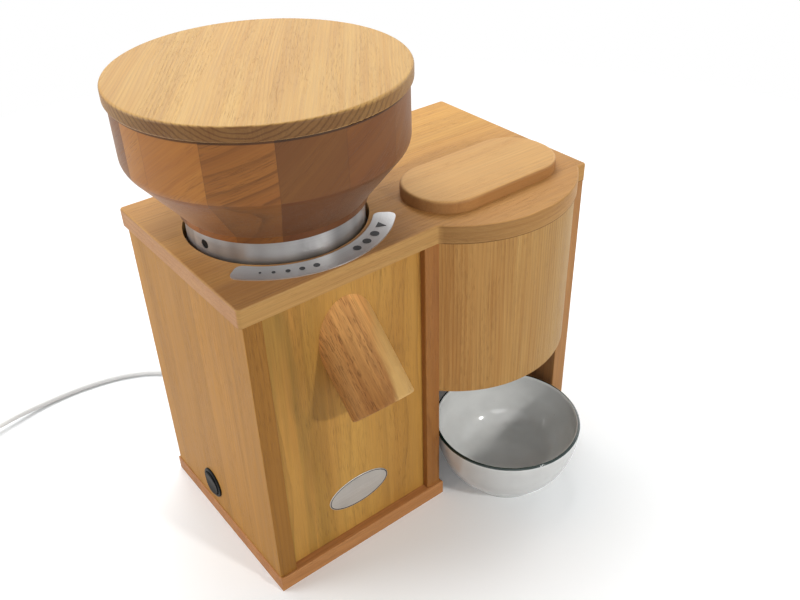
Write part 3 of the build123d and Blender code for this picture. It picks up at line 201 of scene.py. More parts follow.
# For each wood: its pale and its dark tone, then the tone of its growth lines and pores.
FRONT_TONES, FRONT_LINE = (srgb(196, 150, 74), srgb(173, 124, 57)), srgb(104, 69, 33)
BOW_TONES, BOW_LINE = (srgb(184, 146, 87), srgb(166, 123, 67)), srgb(113, 75, 37)
SPOUT_TONES, SPOUT_LINE = (srgb(199, 141, 74), srgb(174, 115, 57)), srgb(107, 60, 27)
SPOUT_PALE = srgb(215, 175, 108)
TOP_TONES, TOP_LINE = (srgb(197, 149, 87), srgb(180, 129, 72)), srgb(129, 83, 43)
LID_TONES, LID_LINE = (srgb(205, 165, 98), srgb(193, 148, 83)), srgb(140, 93, 46)
HOPPER_TONES, HOPPER_LINE = (srgb(133, 84, 37), srgb(114, 65, 27)), srgb(73, 39, 12)
SIDE_TONES, SIDE_LINE = (srgb(179, 126, 50), srgb(164, 114, 42)), srgb(117, 71, 20)
RIGHT_TONES, RIGHT_LINE = (srgb(198, 142, 88), srgb(178, 122, 72)), srgb(118, 70, 40)
DIVIDER_TONES, DIVIDER_LINE = (srgb(162, 109, 53), srgb(142, 89, 43)), srgb(100, 56, 25)
FLAKER_TONES, FLAKER_LINE = (srgb(215, 170, 108), srgb(203, 154, 94)), srgb(145, 96, 54)
BASE_TONES, BASE_LINE = (srgb(190, 136, 82), srgb(168, 112, 64)), srgb(110, 66, 36)

OIL_ROUGHNESS = (0.46, 0.60)

# How far a face turns to the end of the grain, or to the side of the boards, before it takes the tint.
END_FACING, SIDE_FACING = (0.45, 0.85), (0.55, 0.85)


def oiled(name, polish=0.0):
    """A recipe with the satin gloss of oiled wood. polish adds the sheen of a turned, rubbed surface."""
    return Recipe(name, Specular_IOR_Level=0.24, Coat_Weight=0.5 * polish, Coat_Roughness=0.38,
                  Sheen_Weight=polish, Sheen_Roughness=0.35, Sheen_Tint=(1.0, 0.82, 0.62))


def wood_surface(recipe, grain, tones, line, streak=0.5, wide=60.0, fine=0.30, lines=0.004,
                 contrast=0.30, sharp=3.0, wander=0.010, pores=0.3, pore=(95.0, 1900.0), fibres=0.07,
                 depth=0.00010):
    """Colours the recipe as wood. The grain vector runs along the fibres in x, across them in y and z.

    streak and fine are the strengths of the broad and the narrow streaks, wide how many broad ones
    there are to a metre across the grain. lines is the pitch of the growth lines, contrast their
    strength, sharp how thin they are and wander how far they stray. pores is the strength of the pore
    dashes and pore how many there are to a metre along and across the grain. fibres is how much single
    fibres differ and depth the height of the relief.
    """
    broad = recipe.noise(grain, (3, wide, wide), detail=4.0, rough=0.55)
    narrow = recipe.noise(grain, (9, 420, 420), detail=3.0)
    share = recipe.swing(narrow, 4 * fine, recipe.swing(broad, 4 * streak, 0.5))
    tone = recipe.mix(share, tones[0], tones[1])

    # Growth lines: each fades in slowly, ends at once and is stronger in some places.
    drift = recipe.noise(grain, (3.5, 14, 14))
    jitter = recipe.noise(grain, (12, 70, 70))
    bent = recipe.math("MULTIPLY_ADD", drift, 2 * wander, recipe.split(grain)[1])
    bent = recipe.math("MULTIPLY_ADD", jitter, 0.2 * wander, bent)
    ring = recipe.math("FRACT", recipe.math("DIVIDE", bent, lines))
    late = recipe.math("MULTIPLY", recipe.math("POWER", ring, sharp), recipe.between(ring, 1.0, 0.93))
    strength = recipe.between(recipe.noise(grain, (4, 45, 45), detail=1.0), 0.35, 0.62, 0.15, 1.0)
    late = recipe.math("MULTIPLY", late, recipe.math("MULTIPLY", strength, contrast))
    tone = recipe.mix(late, tone, line)

    fibre = recipe.noise(grain, (25, 1300, 1300))
    tone = recipe.shade(tone, recipe.between(fibre, *NOISE_RANGE, 1.0 - fibres, 1.0 + fibres))

    # Pores: short dashes that lie in patches.
    speck = recipe.noise(grain, (pore[0], pore[1], pore[1]), detail=1.0)
    patch = recipe.noise(grain, (6, 70, 70), detail=1.0)
    dash = recipe.math("MULTIPLY", recipe.between(speck, 0.58, 0.68), recipe.between(patch, 0.35, 0.55))
    tone = recipe.mix(recipe.math("MULTIPLY", dash, pores), tone, line)

    recipe.rough(recipe.between(fibre, *NOISE_RANGE, *OIL_ROUGHNESS))
    height = recipe.math("MULTIPLY_ADD", dash, -1.2, recipe.math("MULTIPLY", fibre, 0.5))
    recipe.bump(recipe.math("MULTIPLY_ADD", late, -0.8, height), depth)
    return tone


def boards(recipe, grain, width, seed, tilt, shift):
    """Cuts the grain vector into boards glued side by side along y, each with its own figure.

    It gives the changed vector, a random value for each board and how far a point is into a joint.
    """
    place = recipe.math("DIVIDE", recipe.math("ADD", recipe.split(grain)[1], shift), width)
    chance = recipe.random(recipe.math("ADD", recipe.math("FLOOR", place), seed * 17.0))
    moved = recipe.vector("ADD", grain, recipe.vector("MULTIPLY", chance, (3.0, 3.0, 3.0)))
    angle = recipe.between(recipe.split(chance)[2], 0.0, 1.0, -tilt, tilt)
    edge = recipe.math("MULTIPLY", recipe.math("PINGPONG", place, 0.5), width)
    joint = recipe.between(edge, 0.0004, 0.0001)
    return recipe.turn(moved, angle, (1, 0, 0)), recipe.split(chance)[0], joint


def glued_wood(recipe, grain, tones, line, board=0.05, seed=1, tilt=0.6, shift=0.013, spread=0.10,
               joint_and_gap_shade=0.80, **figure):
    """Wood of boards glued side by side, on a grain vector.

    board is their width, tilt how far the growth lines lean, shift where the first joint is, spread
    how much the boards differ in tone and seam how dark the joints are.
    """
    cut, chance, joint = boards(recipe, grain, board, seed, tilt, shift)
    tone = wood_surface(recipe, cut, tones, line, **figure)
    value = recipe.between(chance, 0.0, 1.0, 1.0 - spread, 1.0 + spread)
    return recipe.shade(tone, recipe.math("MULTIPLY", value, recipe.between(joint, 0.0, 1.0, 1.0, joint_and_gap_shade)))


def whole_board(recipe, grain, tones, line, **figure):
    """The wood of one board that is wider than the piece."""
    return glued_wood(recipe, grain, tones, line, board=0.6, shift=0.3, spread=0.0, **figure)


def wood(name, upright, tones, line, ends=(0.62, 0.55, 0.50), edges=(1.0, 1.0, 1.0), **figure):
    """Oiled boards whose grain runs along x, or along z where they stand upright.

    ends is the tint of the end grain, edges that of the narrow sides of the boards.
    """
    recipe = oiled(name)
    grain, facing = recipe.coords, recipe.facing
    if upright:
        grain, facing = [recipe.turn(vector, math.pi / 2, (0, 1, 0)) for vector in (grain, facing)]
    tone = glued_wood(recipe, grain, tones, line, **figure)
    along, across = [recipe.math("ABSOLUTE", part) for part in recipe.split(facing)[0:2]]
    tone = recipe.tinted(tone, recipe.between(across, *SIDE_FACING), edges)
    recipe.colour(recipe.tinted(tone, recipe.between(along, *END_FACING), ends))
    return recipe.material


def front_wood():
    """A wide yellow board with wavy growth lines, browner to the right.

    To the left it has greener bands and a dark streak that fades downwards.
    """
    band_tint, streak_tint, right_tone_and_light_tint = (0.74, 0.79, 0.76), (0.72, 0.78, 0.78), (0.93, 0.90, 0.85)
    recipe = oiled("front_wood")
    x, y, z = recipe.split(recipe.coords)
    grain = recipe.join(z, x, y)
    tone = whole_board(recipe, grain, FRONT_TONES, FRONT_LINE, seed=2, tilt=0.0, lines=0.019, sharp=7.0,
                       wander=0.040, contrast=0.42, streak=0.55, wide=26.0, fine=0.14)
    bands = recipe.noise(grain, (2.5, 75, 75))
    left = recipe.between(x, FRONT_LEFT + 0.058, FRONT_LEFT + 0.024)
    bands = recipe.math("MULTIPLY", recipe.between(bands, 0.40, 0.54), left)
    tone = recipe.tinted(tone, bands, band_tint)
    sway = recipe.noise(grain, (9, 9, 9), detail=3.0)
    aside = recipe.swing(sway, 0.030, recipe.math("SUBTRACT", x, FRONT_LEFT + 0.022))
    streak = recipe.math("MULTIPLY", recipe.between(recipe.math("ABSOLUTE", aside), 0.0075, 0.0020),
                         recipe.between(z, 0.075, 0.135, 0.05, 0.90))
    tone = recipe.tinted(tone, streak, streak_tint)
    right = recipe.between(x, FRONT_LEFT + 0.105, FRONT_LEFT + 0.125)
    recipe.colour(recipe.tinted(tone, right, right_tone_and_light_tint))
    return recipe.material


def bow_wood():
    """Fine upright grain that follows the bowed panel, with painted light: darker and redder to the left
    and paler to the right.

    A dark line of painted shade lies under its top edge, in the gap below the top plate.
    """
    left_tone_and_light_tint, right_tone_and_light_tint = (1.03, 0.93, 0.84), (1.0, 1.07, 1.14)
    recipe = oiled("bow_wood")
    x, y, z = recipe.split(recipe.coords)
    side, front = recipe.math("SUBTRACT", x, BOW_X), recipe.math("SUBTRACT", BOW_Y, y)
    along_arc = recipe.math("MULTIPLY", recipe.math("ARCTAN2", side, front), BOW_R)
    grain = recipe.join(z, along_arc, recipe.length(side, front))
    tone = whole_board(recipe, grain, BOW_TONES, BOW_LINE, seed=7, tilt=0.0, lines=0.0031, wander=0.006,
                       sharp=2.2, contrast=0.42, streak=0.45, wide=38.0, fine=0.50)
    # Painted shade: the top millimetre of the panel is darker, where the gap under the top plate lies.
    tone = recipe.shade(tone, recipe.between(z, BOW_HIGH.z - 0.0011, BOW_HIGH.z - 0.0007, 1.0, 0.50))
    # Painted light: the panel darkens and reddens towards its left end and pales towards its right end.
    place = recipe.between(along_arc, -BOW_R * 0.8, BOW_R * 0.8)
    recipe.colour(recipe.multiply(tone, recipe.mix(place, left_tone_and_light_tint, right_tone_and_light_tint)))
    return recipe.material


def top_wood():
    """The top plate's boards: darker and redder at the front left, partly in tone and partly the
    hopper's painted shadow, and paler at the rear right, partly a paler board and partly painted light.

    Its edges have a grain of their own: less red at the mill's front and pinker on the left side. Round
    the bow the edge is darker at its left end and lighter to the right, which is painted light, and a
    dark line of painted shade lies in the gap below.
    """
    front_tone_and_shadow_tint, rear_board_and_light_tint, gap_shade_tint = (0.80, 0.77, 0.84), (1.20, 1.24, 1.08), (0.45, 0.40, 0.36)
    mill_edge, bow_left_shade, bow_right_light = (0.90, 0.98, 1.02), (0.62, 0.62, 0.62), (0.95, 1.0, 1.0)
    left_edge = (0.98, 0.88, 1.12)
    recipe = oiled("top_wood")
    x, y, z = recipe.split(recipe.coords)
    edge = wood_surface(recipe, recipe.join(x, z, recipe.math("MULTIPLY", y, 0.2)), TOP_TONES, TOP_LINE,
                        lines=0.0042, contrast=0.30, streak=0.35, wide=90.0)
    tone = glued_wood(recipe, recipe.coords, TOP_TONES, TOP_LINE, board=0.0365, seed=4, tilt=0.9,
                      shift=0.0885, spread=0.045, lines=0.0034, contrast=0.28, streak=0.35)
    facing = recipe.split(recipe.facing)
    bow = recipe.between(x, BOW_LOW.x - 0.002, BOW_LOW.x + 0.002)
    # Painted light: round the bow the edge is darker at its left end and lighter towards its right end.
    bow_edge_light = recipe.mix(recipe.between(x, BOW_LOW.x, BOW_HIGH.x), bow_left_shade, bow_right_light)
    edge = recipe.multiply(edge, recipe.mix(bow, mill_edge, bow_edge_light))
    on_edge = recipe.between(recipe.math("ABSOLUTE", facing[2]), 0.85, 0.55)
    on_left = recipe.between(recipe.math("ABSOLUTE", facing[0]), 0.85, 0.95)
    left = recipe.math("MULTIPLY", on_left, recipe.math("SUBTRACT", 1.0, bow))
    # Partly the wood's tone and partly the hopper's painted shadow: the boards darker and redder at the
    # front left.
    front = recipe.math("MULTIPLY", recipe.between(y, -0.052, -0.060), recipe.between(x, 0.01, -0.04))
    # Partly a paler board and partly painted light from above: the boards paler at the rear right.
    rear = recipe.math("MULTIPLY", recipe.between(y, -0.02, 0.03), recipe.between(x, -0.03, 0.05))
    # Painted shade: a dark line along the bottom of the plate's edge over the bow, in the gap above the
    # bowed panel.
    joint_and_gap_shade = recipe.math("MULTIPLY", recipe.between(z, BOW_HIGH.z + 0.0008, BOW_HIGH.z + 0.0004), bow)
    tone = recipe.tinted(tone, recipe.math("SUBTRACT", front, on_edge), front_tone_and_shadow_tint)
    tone = recipe.mix(on_edge, recipe.tinted(tone, rear, rear_board_and_light_tint), edge)
    tone = recipe.tinted(tone, joint_and_gap_shade, gap_shade_tint)
    recipe.colour(recipe.tinted(tone, left, left_edge))
    return recipe.material


def lid_wood():
    """The hopper lid's boards. Its edge is darker and shows the curved growth rings of end grain."""
    edge_tint, ring_tint, end_tint = (0.55, 0.48, 0.42), (0.66, 0.60, 0.55), (0.36, 0.29, 0.27)
    grain_turn, ring_pitch, pith_rise = math.radians(-54), 0.0034, 0.045
    recipe = oiled("lid_wood", polish=0.15)
    centred = recipe.vector("SUBTRACT", recipe.coords, (MILL_X, 0.0, 0.0))
    grain, facing = [recipe.turn(vector, grain_turn, (0, 0, 1)) for vector in (centred, recipe.facing)]
    along, across = [recipe.math("ABSOLUTE", part) for part in recipe.split(facing)[0:2]]
    tone = glued_wood(recipe, grain, LID_TONES, LID_LINE, board=0.062, seed=6, tilt=0.8, spread=0.03,
                      joint_and_gap_shade=0.92, lines=0.0026, contrast=0.36, fine=0.45)
    _, side, up = recipe.split(grain)
    radius = recipe.length(side, recipe.math("SUBTRACT", up, LID_TOP + pith_rise))
    radius = recipe.math("MULTIPLY_ADD", recipe.noise(grain, (20, 60, 60)), 0.004, radius)
    ring = recipe.math("PINGPONG", recipe.math("DIVIDE", radius, ring_pitch), 0.5)
    tone = recipe.tinted(tone, recipe.between(across, *SIDE_FACING), edge_tint)
    rings = recipe.math("MULTIPLY", recipe.between(ring, 0.22, 0.08), recipe.between(along, 0.25, 0.65))
    tone = recipe.tinted(tone, rings, ring_tint)
    recipe.colour(recipe.tinted(tone, recipe.between(along, *END_FACING), end_tint))
    return recipe.material


def spout_wood():
    """Coarse grain along the spout: dark dashes to the left, a paler and plainer zone to the right.

    Painted light makes it lighter where it leaves the case, and painted shade makes it darker at its
    mouth.
    """
    painted_light_root_tint, painted_shade_mouth_tint = (1.44, 1.62, 2.05), (0.64, 0.60, 0.56)
    recipe = oiled("spout_wood")
    grain = recipe.turn(recipe.turn(recipe.coords, -math.pi / 2, (0, 0, 1)), SPOUT_TILT, (0, 1, 0))
    tone = wood_surface(recipe, grain, SPOUT_TONES, SPOUT_LINE, lines=0.0052, wander=0.008,
                        contrast=0.22, pores=0.55, pore=(150.0, 1500.0), streak=0.45, wide=70.0,
                        depth=0.00025)
    coarse = recipe.noise(grain, (55, 620, 620), detail=3.0)
    tone = recipe.shade(tone, recipe.between(coarse, 0.36, 0.62, 0.88, 1.06))
    x, y, _ = recipe.split(recipe.coords)
    out = recipe.math("SUBTRACT", FRONT_FACE, y)
    # Painted light and shade: lighter near the case, darker towards the mouth.
    tone = recipe.multiply(tone, recipe.mix(recipe.between(out, 0.0, 0.055), painted_light_root_tint, painted_shade_mouth_tint))
    wave = recipe.noise(grain, (30, 130, 130), detail=3.0)
    place = recipe.math("MULTIPLY_ADD", out, 0.34, recipe.math("SUBTRACT", x, MILL_X))
    pale = recipe.between(recipe.swing(wave, 0.018, place), 0.0140, 0.0225)
    recipe.colour(recipe.mix(recipe.math("MULTIPLY", pale, 0.78), tone, SPOUT_PALE))
    return recipe.material


def hopper_wood():
    """Turned wood, glued up from staves round the axis, with a ring of its own under the knee.

    Stave -1 faces the camera and has the boldest figure. The staves to its left are lighter, partly
    paler wood and partly a painted reflection, those to its right darker, partly in tone and partly
    painted shade, and a dark line of painted shadow lies under the lid.
    """
    left_tone_and_light_tint, right_tone_and_light_tint, far_right_tint = (1.76, 2.02, 2.00), (0.80, 0.82, 0.87), (0.91, 0.97, 1.10)
    low_tint, warm_tint, cool_tint = (0.77, 0.68, 0.58), (1.05, 0.97, 0.93), (0.97, 1.02, 1.02)
    recipe = oiled("hopper_wood", polish=0.20)
    x, y, z = recipe.split(recipe.coords)
    side = recipe.math("SUBTRACT", x, MILL_X)
    angle, radius = recipe.math("ARCTAN2", y, side), recipe.length(side, y)
    low = recipe.between(z, LOW_RING_Z + 0.0001, LOW_RING_Z - 0.0001)
    place = recipe.math("DIVIDE", recipe.math("SUBTRACT", angle, STAVE_JOINT), STAVE_PITCH)
    stave = recipe.math("FLOOR", place)
    number = recipe.math("MULTIPLY_ADD", low, 31.0, stave)
    chance = recipe.random(recipe.math("ADD", number, 9.0))
    value_chance, hue_chance, lean_chance = recipe.split(chance)

    middle = recipe.math("SUBTRACT", recipe.math("FRACT", place), 0.5)
    around = recipe.math("MULTIPLY", middle, STAVE_WIDTH)
    moved = recipe.vector("ADD", recipe.join(around, z, radius),
                          recipe.vector("MULTIPLY", chance, (2.0, 2.0, 0.3)))
    lean = recipe.between(lean_chance, 0.0, 1.0, -0.75, -0.35)
    grain = recipe.turn(recipe.turn(moved, lean, (0, 0, 1)), 0.9, (1, 0, 0))
    bold = recipe.between(recipe.math("ABSOLUTE", recipe.math("ADD", stave, 1.0)), 0.0, 1.0, 0.80, 0.20)
    tone = wood_surface(recipe, grain, HOPPER_TONES, HOPPER_LINE, lines=0.0075, wander=0.014, sharp=4.0,
                        contrast=bold, streak=0.35, wide=45.0, fine=0.2, pores=0.35, pore=(75.0, 1500.0))

    value = recipe.between(value_chance, 0.0, 1.0, 0.92, 1.06)
    edge = recipe.math("MULTIPLY", recipe.math("PINGPONG", place, 0.5), STAVE_WIDTH)
    value = recipe.math("MULTIPLY", value, recipe.between(edge, 0.0001, 0.0005, 0.80, 1.0))
    # Painted shadow: a dark band on the hopper just under the rim of the lid.
    painted_lid_shadow = recipe.between(z, HOPPER_TOP - 0.0022, HOPPER_TOP - 0.0017, 1.0, 0.30)
    tone = recipe.shade(tone, recipe.math("MULTIPLY", value, painted_lid_shadow))
    # Partly the staves' own tone and partly painted light: the staves to the left lighter, with a
    # painted reflection, and those to the right darker, with painted shade.
    right = recipe.mix(recipe.between(stave, 1.0, 2.0), right_tone_and_light_tint, far_right_tint)
    tone = recipe.multiply(tone, recipe.mix(recipe.between(stave, 0.0, -2.0), right, left_tone_and_light_tint))
    tone = recipe.tinted(tone, low, low_tint)
    recipe.colour(recipe.multiply(tone, recipe.mix(hue_chance, warm_tint, cool_tint)))
    return recipe.material


# ---- Lights, floor, camera ----------------------------------------------------------------------
CAMERA_AT, CAMERA_AIM = Vector((-0.3599, -0.5215, 0.5985)), Vector((0.0149, -0.0288, 0.1751))
CAMERA_ROLL = math.radians(-1.767)
LENS_MM, SENSOR_MM = 39.42, 36.0


def camera():
    data = bpy.data.cameras.new("camera")
    data.lens = LENS_MM
    data.sensor_width = SENSOR_MM
    data.clip_start = 0.01
    eye = bpy.data.objects.new("camera", data)
    bpy.context.scene.collection.objects.link(eye)
    eye.rotation_mode = "QUATERNION"
    eye.location = CAMERA_AT
    roll = Quaternion((0, 0, 1), CAMERA_ROLL)
    eye.rotation_quaternion = (CAMERA_AIM - CAMERA_AT).to_track_quat("-Z", "Y") @ roll
    bpy.context.scene.camera = eye


def lamp(name, at, aim, size, watts, colour=(1.0, 1.0, 1.0)):
    """A round lamp that shines at a point."""
    data = bpy.data.lights.new(name, "AREA")
    data.shape = "DISK"
    data.size = size
    data.energy = watts
    data.color = colour
    obj = bpy.data.objects.new(name, data)
    bpy.context.scene.collection.objects.link(obj)
    obj.location = at
    obj.rotation_mode = "QUATERNION"
    obj.rotation_quaternion = (Vector(aim) - Vector(at)).to_track_quat("-Z", "Y")


def white_where_seen(tree, lit, white):
    """Mixes a lit shader with a plain white one for what the camera, a reflection or glass sees."""
    path = tree.nodes.new("ShaderNodeLightPath")
    seen = path.outputs["Is Camera Ray"]
    for ray in ("Is Glossy Ray", "Is Transmission Ray"):
        either = tree.nodes.new("ShaderNodeMath")
        either.operation = "MAXIMUM"
        tree.links.new(seen, either.inputs[0])
        tree.links.new(path.outputs[ray], either.inputs[1])
        seen = either.outputs[0]
    choice = tree.nodes.new("ShaderNodeMixShader")
    for slot, output in enumerate((seen, lit, white)):
        tree.links.new(output, choice.inputs[slot])
    return choice.outputs[0]


def world():
    """A dim white sky that lights the scene, and a plain white one where it is seen."""
    sky = bpy.data.worlds.new("studio")
    bpy.context.scene.world = sky
    sky.use_nodes = True
    tree = sky.node_tree
    light = tree.nodes["Background"]
    light.inputs["Color"].default_value = (0.97, 0.98, 1.0, 1.0)
    light.inputs["Strength"].default_value = 0.25
    backdrop = tree.nodes.new("ShaderNodeBackground")
    backdrop.inputs["Color"].default_value = (1.0, 1.0, 1.0, 1.0)
    backdrop.inputs["Strength"].default_value = 1.0
    result = white_where_seen(tree, light.outputs[0], backdrop.outputs[0])
    tree.links.new(result, tree.nodes["World Output"].inputs["Surface"])


def floor():
    """The white table. It glows a little where it is seen, and far out it fades to plain white."""
    half, fade_from, fade_to = 6.0, 0.6, 1.1
    mesh = bpy.data.meshes.new("floor")
    corners = [(x * half, y * half, TABLE_Z) for x, y in ((-1, -1), (1, -1), (1, 1), (-1, 1))]
    mesh.from_pydata(corners, [], [(0, 1, 2, 3)])
    obj = bpy.data.objects.new("floor", mesh)
    bpy.context.scene.collection.objects.link(obj)
    recipe = Recipe("floor_white", Base_Color=(0.62, 0.62, 0.62), Roughness=0.6)
    pale = recipe.add("ShaderNodeBsdfDiffuse", {"Color": (0.965, 0.985, 0.995)})
    glow = recipe.add("ShaderNodeEmission", {"Strength": 0.07})
    both = recipe.add("ShaderNodeAddShader", {0: pale.outputs[0], 1: glow.outputs[0]})
    x, y, _ = recipe.split(recipe.coords)
    away = recipe.between(recipe.length(x, y), fade_from, fade_to)
    white = recipe.add("ShaderNodeEmission", {"Strength": 1.0})
    seen = recipe.add("ShaderNodeMixShader", {0: away, 1: both.outputs[0], 2: white.outputs[0]})
    result = white_where_seen(recipe.tree, recipe.shader.outputs[0], seen.outputs[0])
    recipe.tree.links.new(result, recipe.tree.nodes["Material Output"].inputs["Surface"])
    mesh.materials.append(recipe.material)


# ---- Mesh helpers -------------------------------------------------------------------------------
def finished(name, made, *materials, sharp=math.radians(35)):
    """An object from a bmesh whose faces already have their material numbers."""
    bmesh.ops.recalc_face_normals(made, faces=made.faces)
    mesh = bpy.data.meshes.new(name)
    made.to_mesh(mesh)
    made.free()
    for face in mesh.polygons:
        face.use_smooth = True
    mesh.set_sharp_from_angle(angle=sharp)
    obj = bpy.data.objects.new(name, mesh)
    bpy.context.scene.collection.objects.link(obj)
    for material in materials:
        mesh.materials.append(material)
    return obj


def bridge(made, one, two, material=0):
    """Faces between two closed rings of vertices. A ring of one vertex is a point."""
    count = max(len(one), len(two))
    for i in range(count):
        j = (i + 1) % count
        corners = [one[i % len(one)], one[j % len(one)], two[j % len(two)], two[i % len(two)]]
        face = made.faces.new(list(dict.fromkeys(corners)))
        face.material_index = material


def skin(made, rings, start=None, end=None, second=()):
    """Faces from ring to ring, closed by a point at the start and the end where they are given.

    The strips whose numbers are in second take the second material.
    """
    for number, (one, two) in enumerate(zip(rings, rings[1:])):
        bridge(made, one, two, int(number in second))
    for ring, point in ((rings[0], start), (rings[-1], end)):
        if point is not None:
            bridge(made, ring, [made.verts.new(point)])


def turns(count):
    """The angles of a full turn in equal steps."""
    return [2 * math.pi * i / count for i in range(count)]


def polar(middle, radius, angle):
    """The point at an angle and a distance from a middle, in a plane."""
    return (middle[0] + radius * math.cos(angle), middle[1] + radius * math.sin(angle))


def arc(middle, radius, start, end, count):
    """Points along an arc, in degrees, its two ends included."""
    return [polar(middle, radius, math.radians(start + (end - start) * i / count))
            for i in range(count + 1)]


def bezier(points, count):
    """Points along a Bezier curve, its two ends included."""
    result = []
    for i in range(count + 1):
        line = [Vector(point) for point in points]
        while len(line) > 1:
            line = [a.lerp(b, i / count) for a, b in zip(line, line[1:])]
        result.append(tuple(line[0]))
    return result


def lathe(name, outline, middle, material, steps, axis="z"):
    """A mesh turned about an axis through middle from an outline of (radius, place along the axis).

    A radius of 0 is a point on the axis. The outline runs from the axis back to the axis.
    """
    made = bmesh.new()
    rings = []
    for radius, along in outline:
        points = [polar(middle, radius, angle) for angle in (turns(steps) if radius else [0.0])]
        rings.append([made.verts.new((a, b, along) if axis == "z" else (a, along, b))
                      for a, b in points])
    skin(made, rings)
    return finished(name, made, material)


# ---- Small pieces -------------------------------------------------------------------------------
# The dots on the scale plate: the angle in degrees and the radius of each.
SCALE_DOTS = [(-129.4, 0.0010), (-122.9, 0.0014), (-116.0, 0.0018), (-109.1, 0.0021), (-101.8, 0.0024),
              (-77.4, 0.0031), (-69.4, 0.0033), (-61.2, 0.0035)]
# The triangle after them: its angle, and the corners' further angles and distances from MARK_R.
TRIANGLE_ANGLE = -52.1
TRIANGLE_CORNERS = [(-2.8, -0.0028), (2.8, -0.0028), (0.0, 0.0042)]


def scale_marks(material):
    """The plain dots and the triangle on the scale plate."""
    made = bmesh.new()
    axis, soft = (MILL_X, 0.0), 0.0001
    foot, top = SCALE_TOP - 0.0001, SCALE_TOP + 0.00025
    for angle, radius in SCALE_DOTS:
        place = polar(axis, MARK_R, math.radians(angle))
        rings = [[made.verts.new((*polar(place, r, turn), z)) for turn in turns(28)]
                 for r, z in ((radius, foot), (radius, top - soft), (radius - soft, top))]
        skin(made, rings, (*place, foot), (*place, top))
    corners = [polar(axis, MARK_R + out, math.radians(TRIANGLE_ANGLE + turn))
               for turn, out in TRIANGLE_CORNERS]
    rings = [[made.verts.new((*corner, z)) for corner in corners] for z in (foot, top)]
    skin(made, rings)
    for ring in rings:
        made.faces.new(ring)
    marks = finished("scale_marks", made, material)
    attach(marks, "case")


def name_badge(face, line):
    """The bare oval badge: a rounded edge, a dark line sunk round it and a slightly crowned face."""
    low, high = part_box("name_badge")
    middle, half = (low + high) / 2, (high - low) / 2
    # How far each ring lies inside the edge, and its height as a share of the thickness.
    profile = [(0.0, 0.0), (0.0, 0.45), (0.0001, 0.65), (0.0003, 0.76), (0.0005, 0.78), (0.0006, 0.55),
               (0.0013, 0.55), (0.0014, 0.78), (0.0080, 0.90), (0.0140, 0.97)]
    made = bmesh.new()
    rings = []
    for inset, rise in profile:
        y = high.y + (low.y - high.y) * rise
        rings.append([made.verts.new((middle.x + (half.x - inset) * math.cos(turn), y,
                                      middle.z + (half.z - inset) * math.sin(turn)))
                      for turn in turns(120)])
    skin(made, rings, (middle.x, high.y, middle.z), (middle.x, low.y, middle.z), second=(4, 5, 6))
    badge = finished("oval_badge", made, face, line)
    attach(badge, "case")
    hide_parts("name_badge")


def bowl(material):
    """The glazed bowl: a rounded rim, a swelling wall and a foot ring with soft edges."""
    lip, foot, rim, round_off = BOWL_WALL / 2, BOWL_FOOT, BOWL_RIM, 0.0009
    lip_z = BOWL_TOP - lip
    outline = [(0, 0.0042), (foot - 0.0060, 0.0040), (foot - 0.0044, 0.0034), (foot - 0.0036, 0.0022)]
    outline += arc((foot - 0.0026, round_off), round_off, 200, 270, 5)
    outline += arc((foot - 0.0010, round_off), round_off, 270, 350, 5)
    outline += [(foot, 0.0030), (foot + 0.0001, 0.0038)]
    outline += bezier([(foot + 0.0004, 0.0044), (0.0632, 0.0215), (rim, lip_z)], 36)
    outline += arc((rim - lip, lip_z), lip, 8, 172, 12)
    outline += bezier([(rim - 2 * lip, lip_z), (0.0608, 0.028), (0.050, 0.0075), (0.022, 0.0075)], 36)
    outline += [(0.010, 0.0074), (0, 0.0073)]
    piece = lathe("glazed_bowl", outline, BOWL_MIDDLE, material, steps=192)
    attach(piece, "bowl")
    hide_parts("flake_bowl")


def rocker(material):
    """The switch's cap: a shallow valley between its two ends, with a soft edge and grip ridges."""
    low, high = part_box("switch_rocker")
    middle, full = (low + high) / 2, (high.z - low.z) / 2
    valley_depth, valley_shape, ridge_height, ridge_waves = 0.0011, 1.6, 0.00012, 40
    ridges_from, ridges_to = 0.5, 0.85

    def dish(z):
        """How deep the cap's face lies at a height, from the valley and the ridges."""
        place = (z - middle.z) / full
        ridged = ridges_from < abs(place) < ridges_to
        ridges = ridge_height * math.cos(place * ridge_waves) if ridged else 0.0
        return valley_depth * (1 - abs(place) ** valley_shape) + ridges

    # The radius of each ring, its x before the dish is cut, and how much of the dish reaches it.
    profile = [(full, high.x, 0.0), (full, low.x + 0.0009, 0.75), (full - 0.0001, low.x + 0.0005, 0.75),
               (full - 0.0004, low.x + 0.00015, 0.75)]
    profile += [((full - 0.0008) * (1 - i / 16), low.x, 1.0) for i in range(16)]
    made = bmesh.new()
    rings = []
    for radius, x, share in profile:
        points = [polar((middle.y, middle.z), radius, turn) for turn in turns(96)]
        rings.append([made.verts.new((x + share * dish(z), y, z)) for y, z in points])
    skin(made, rings, (high.x, middle.y, middle.z), (low.x + dish(middle.z), middle.y, middle.z))
    cap = finished("rocker_cap", made, material)
    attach(cap, "rocker")
    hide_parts("switch_rocker")


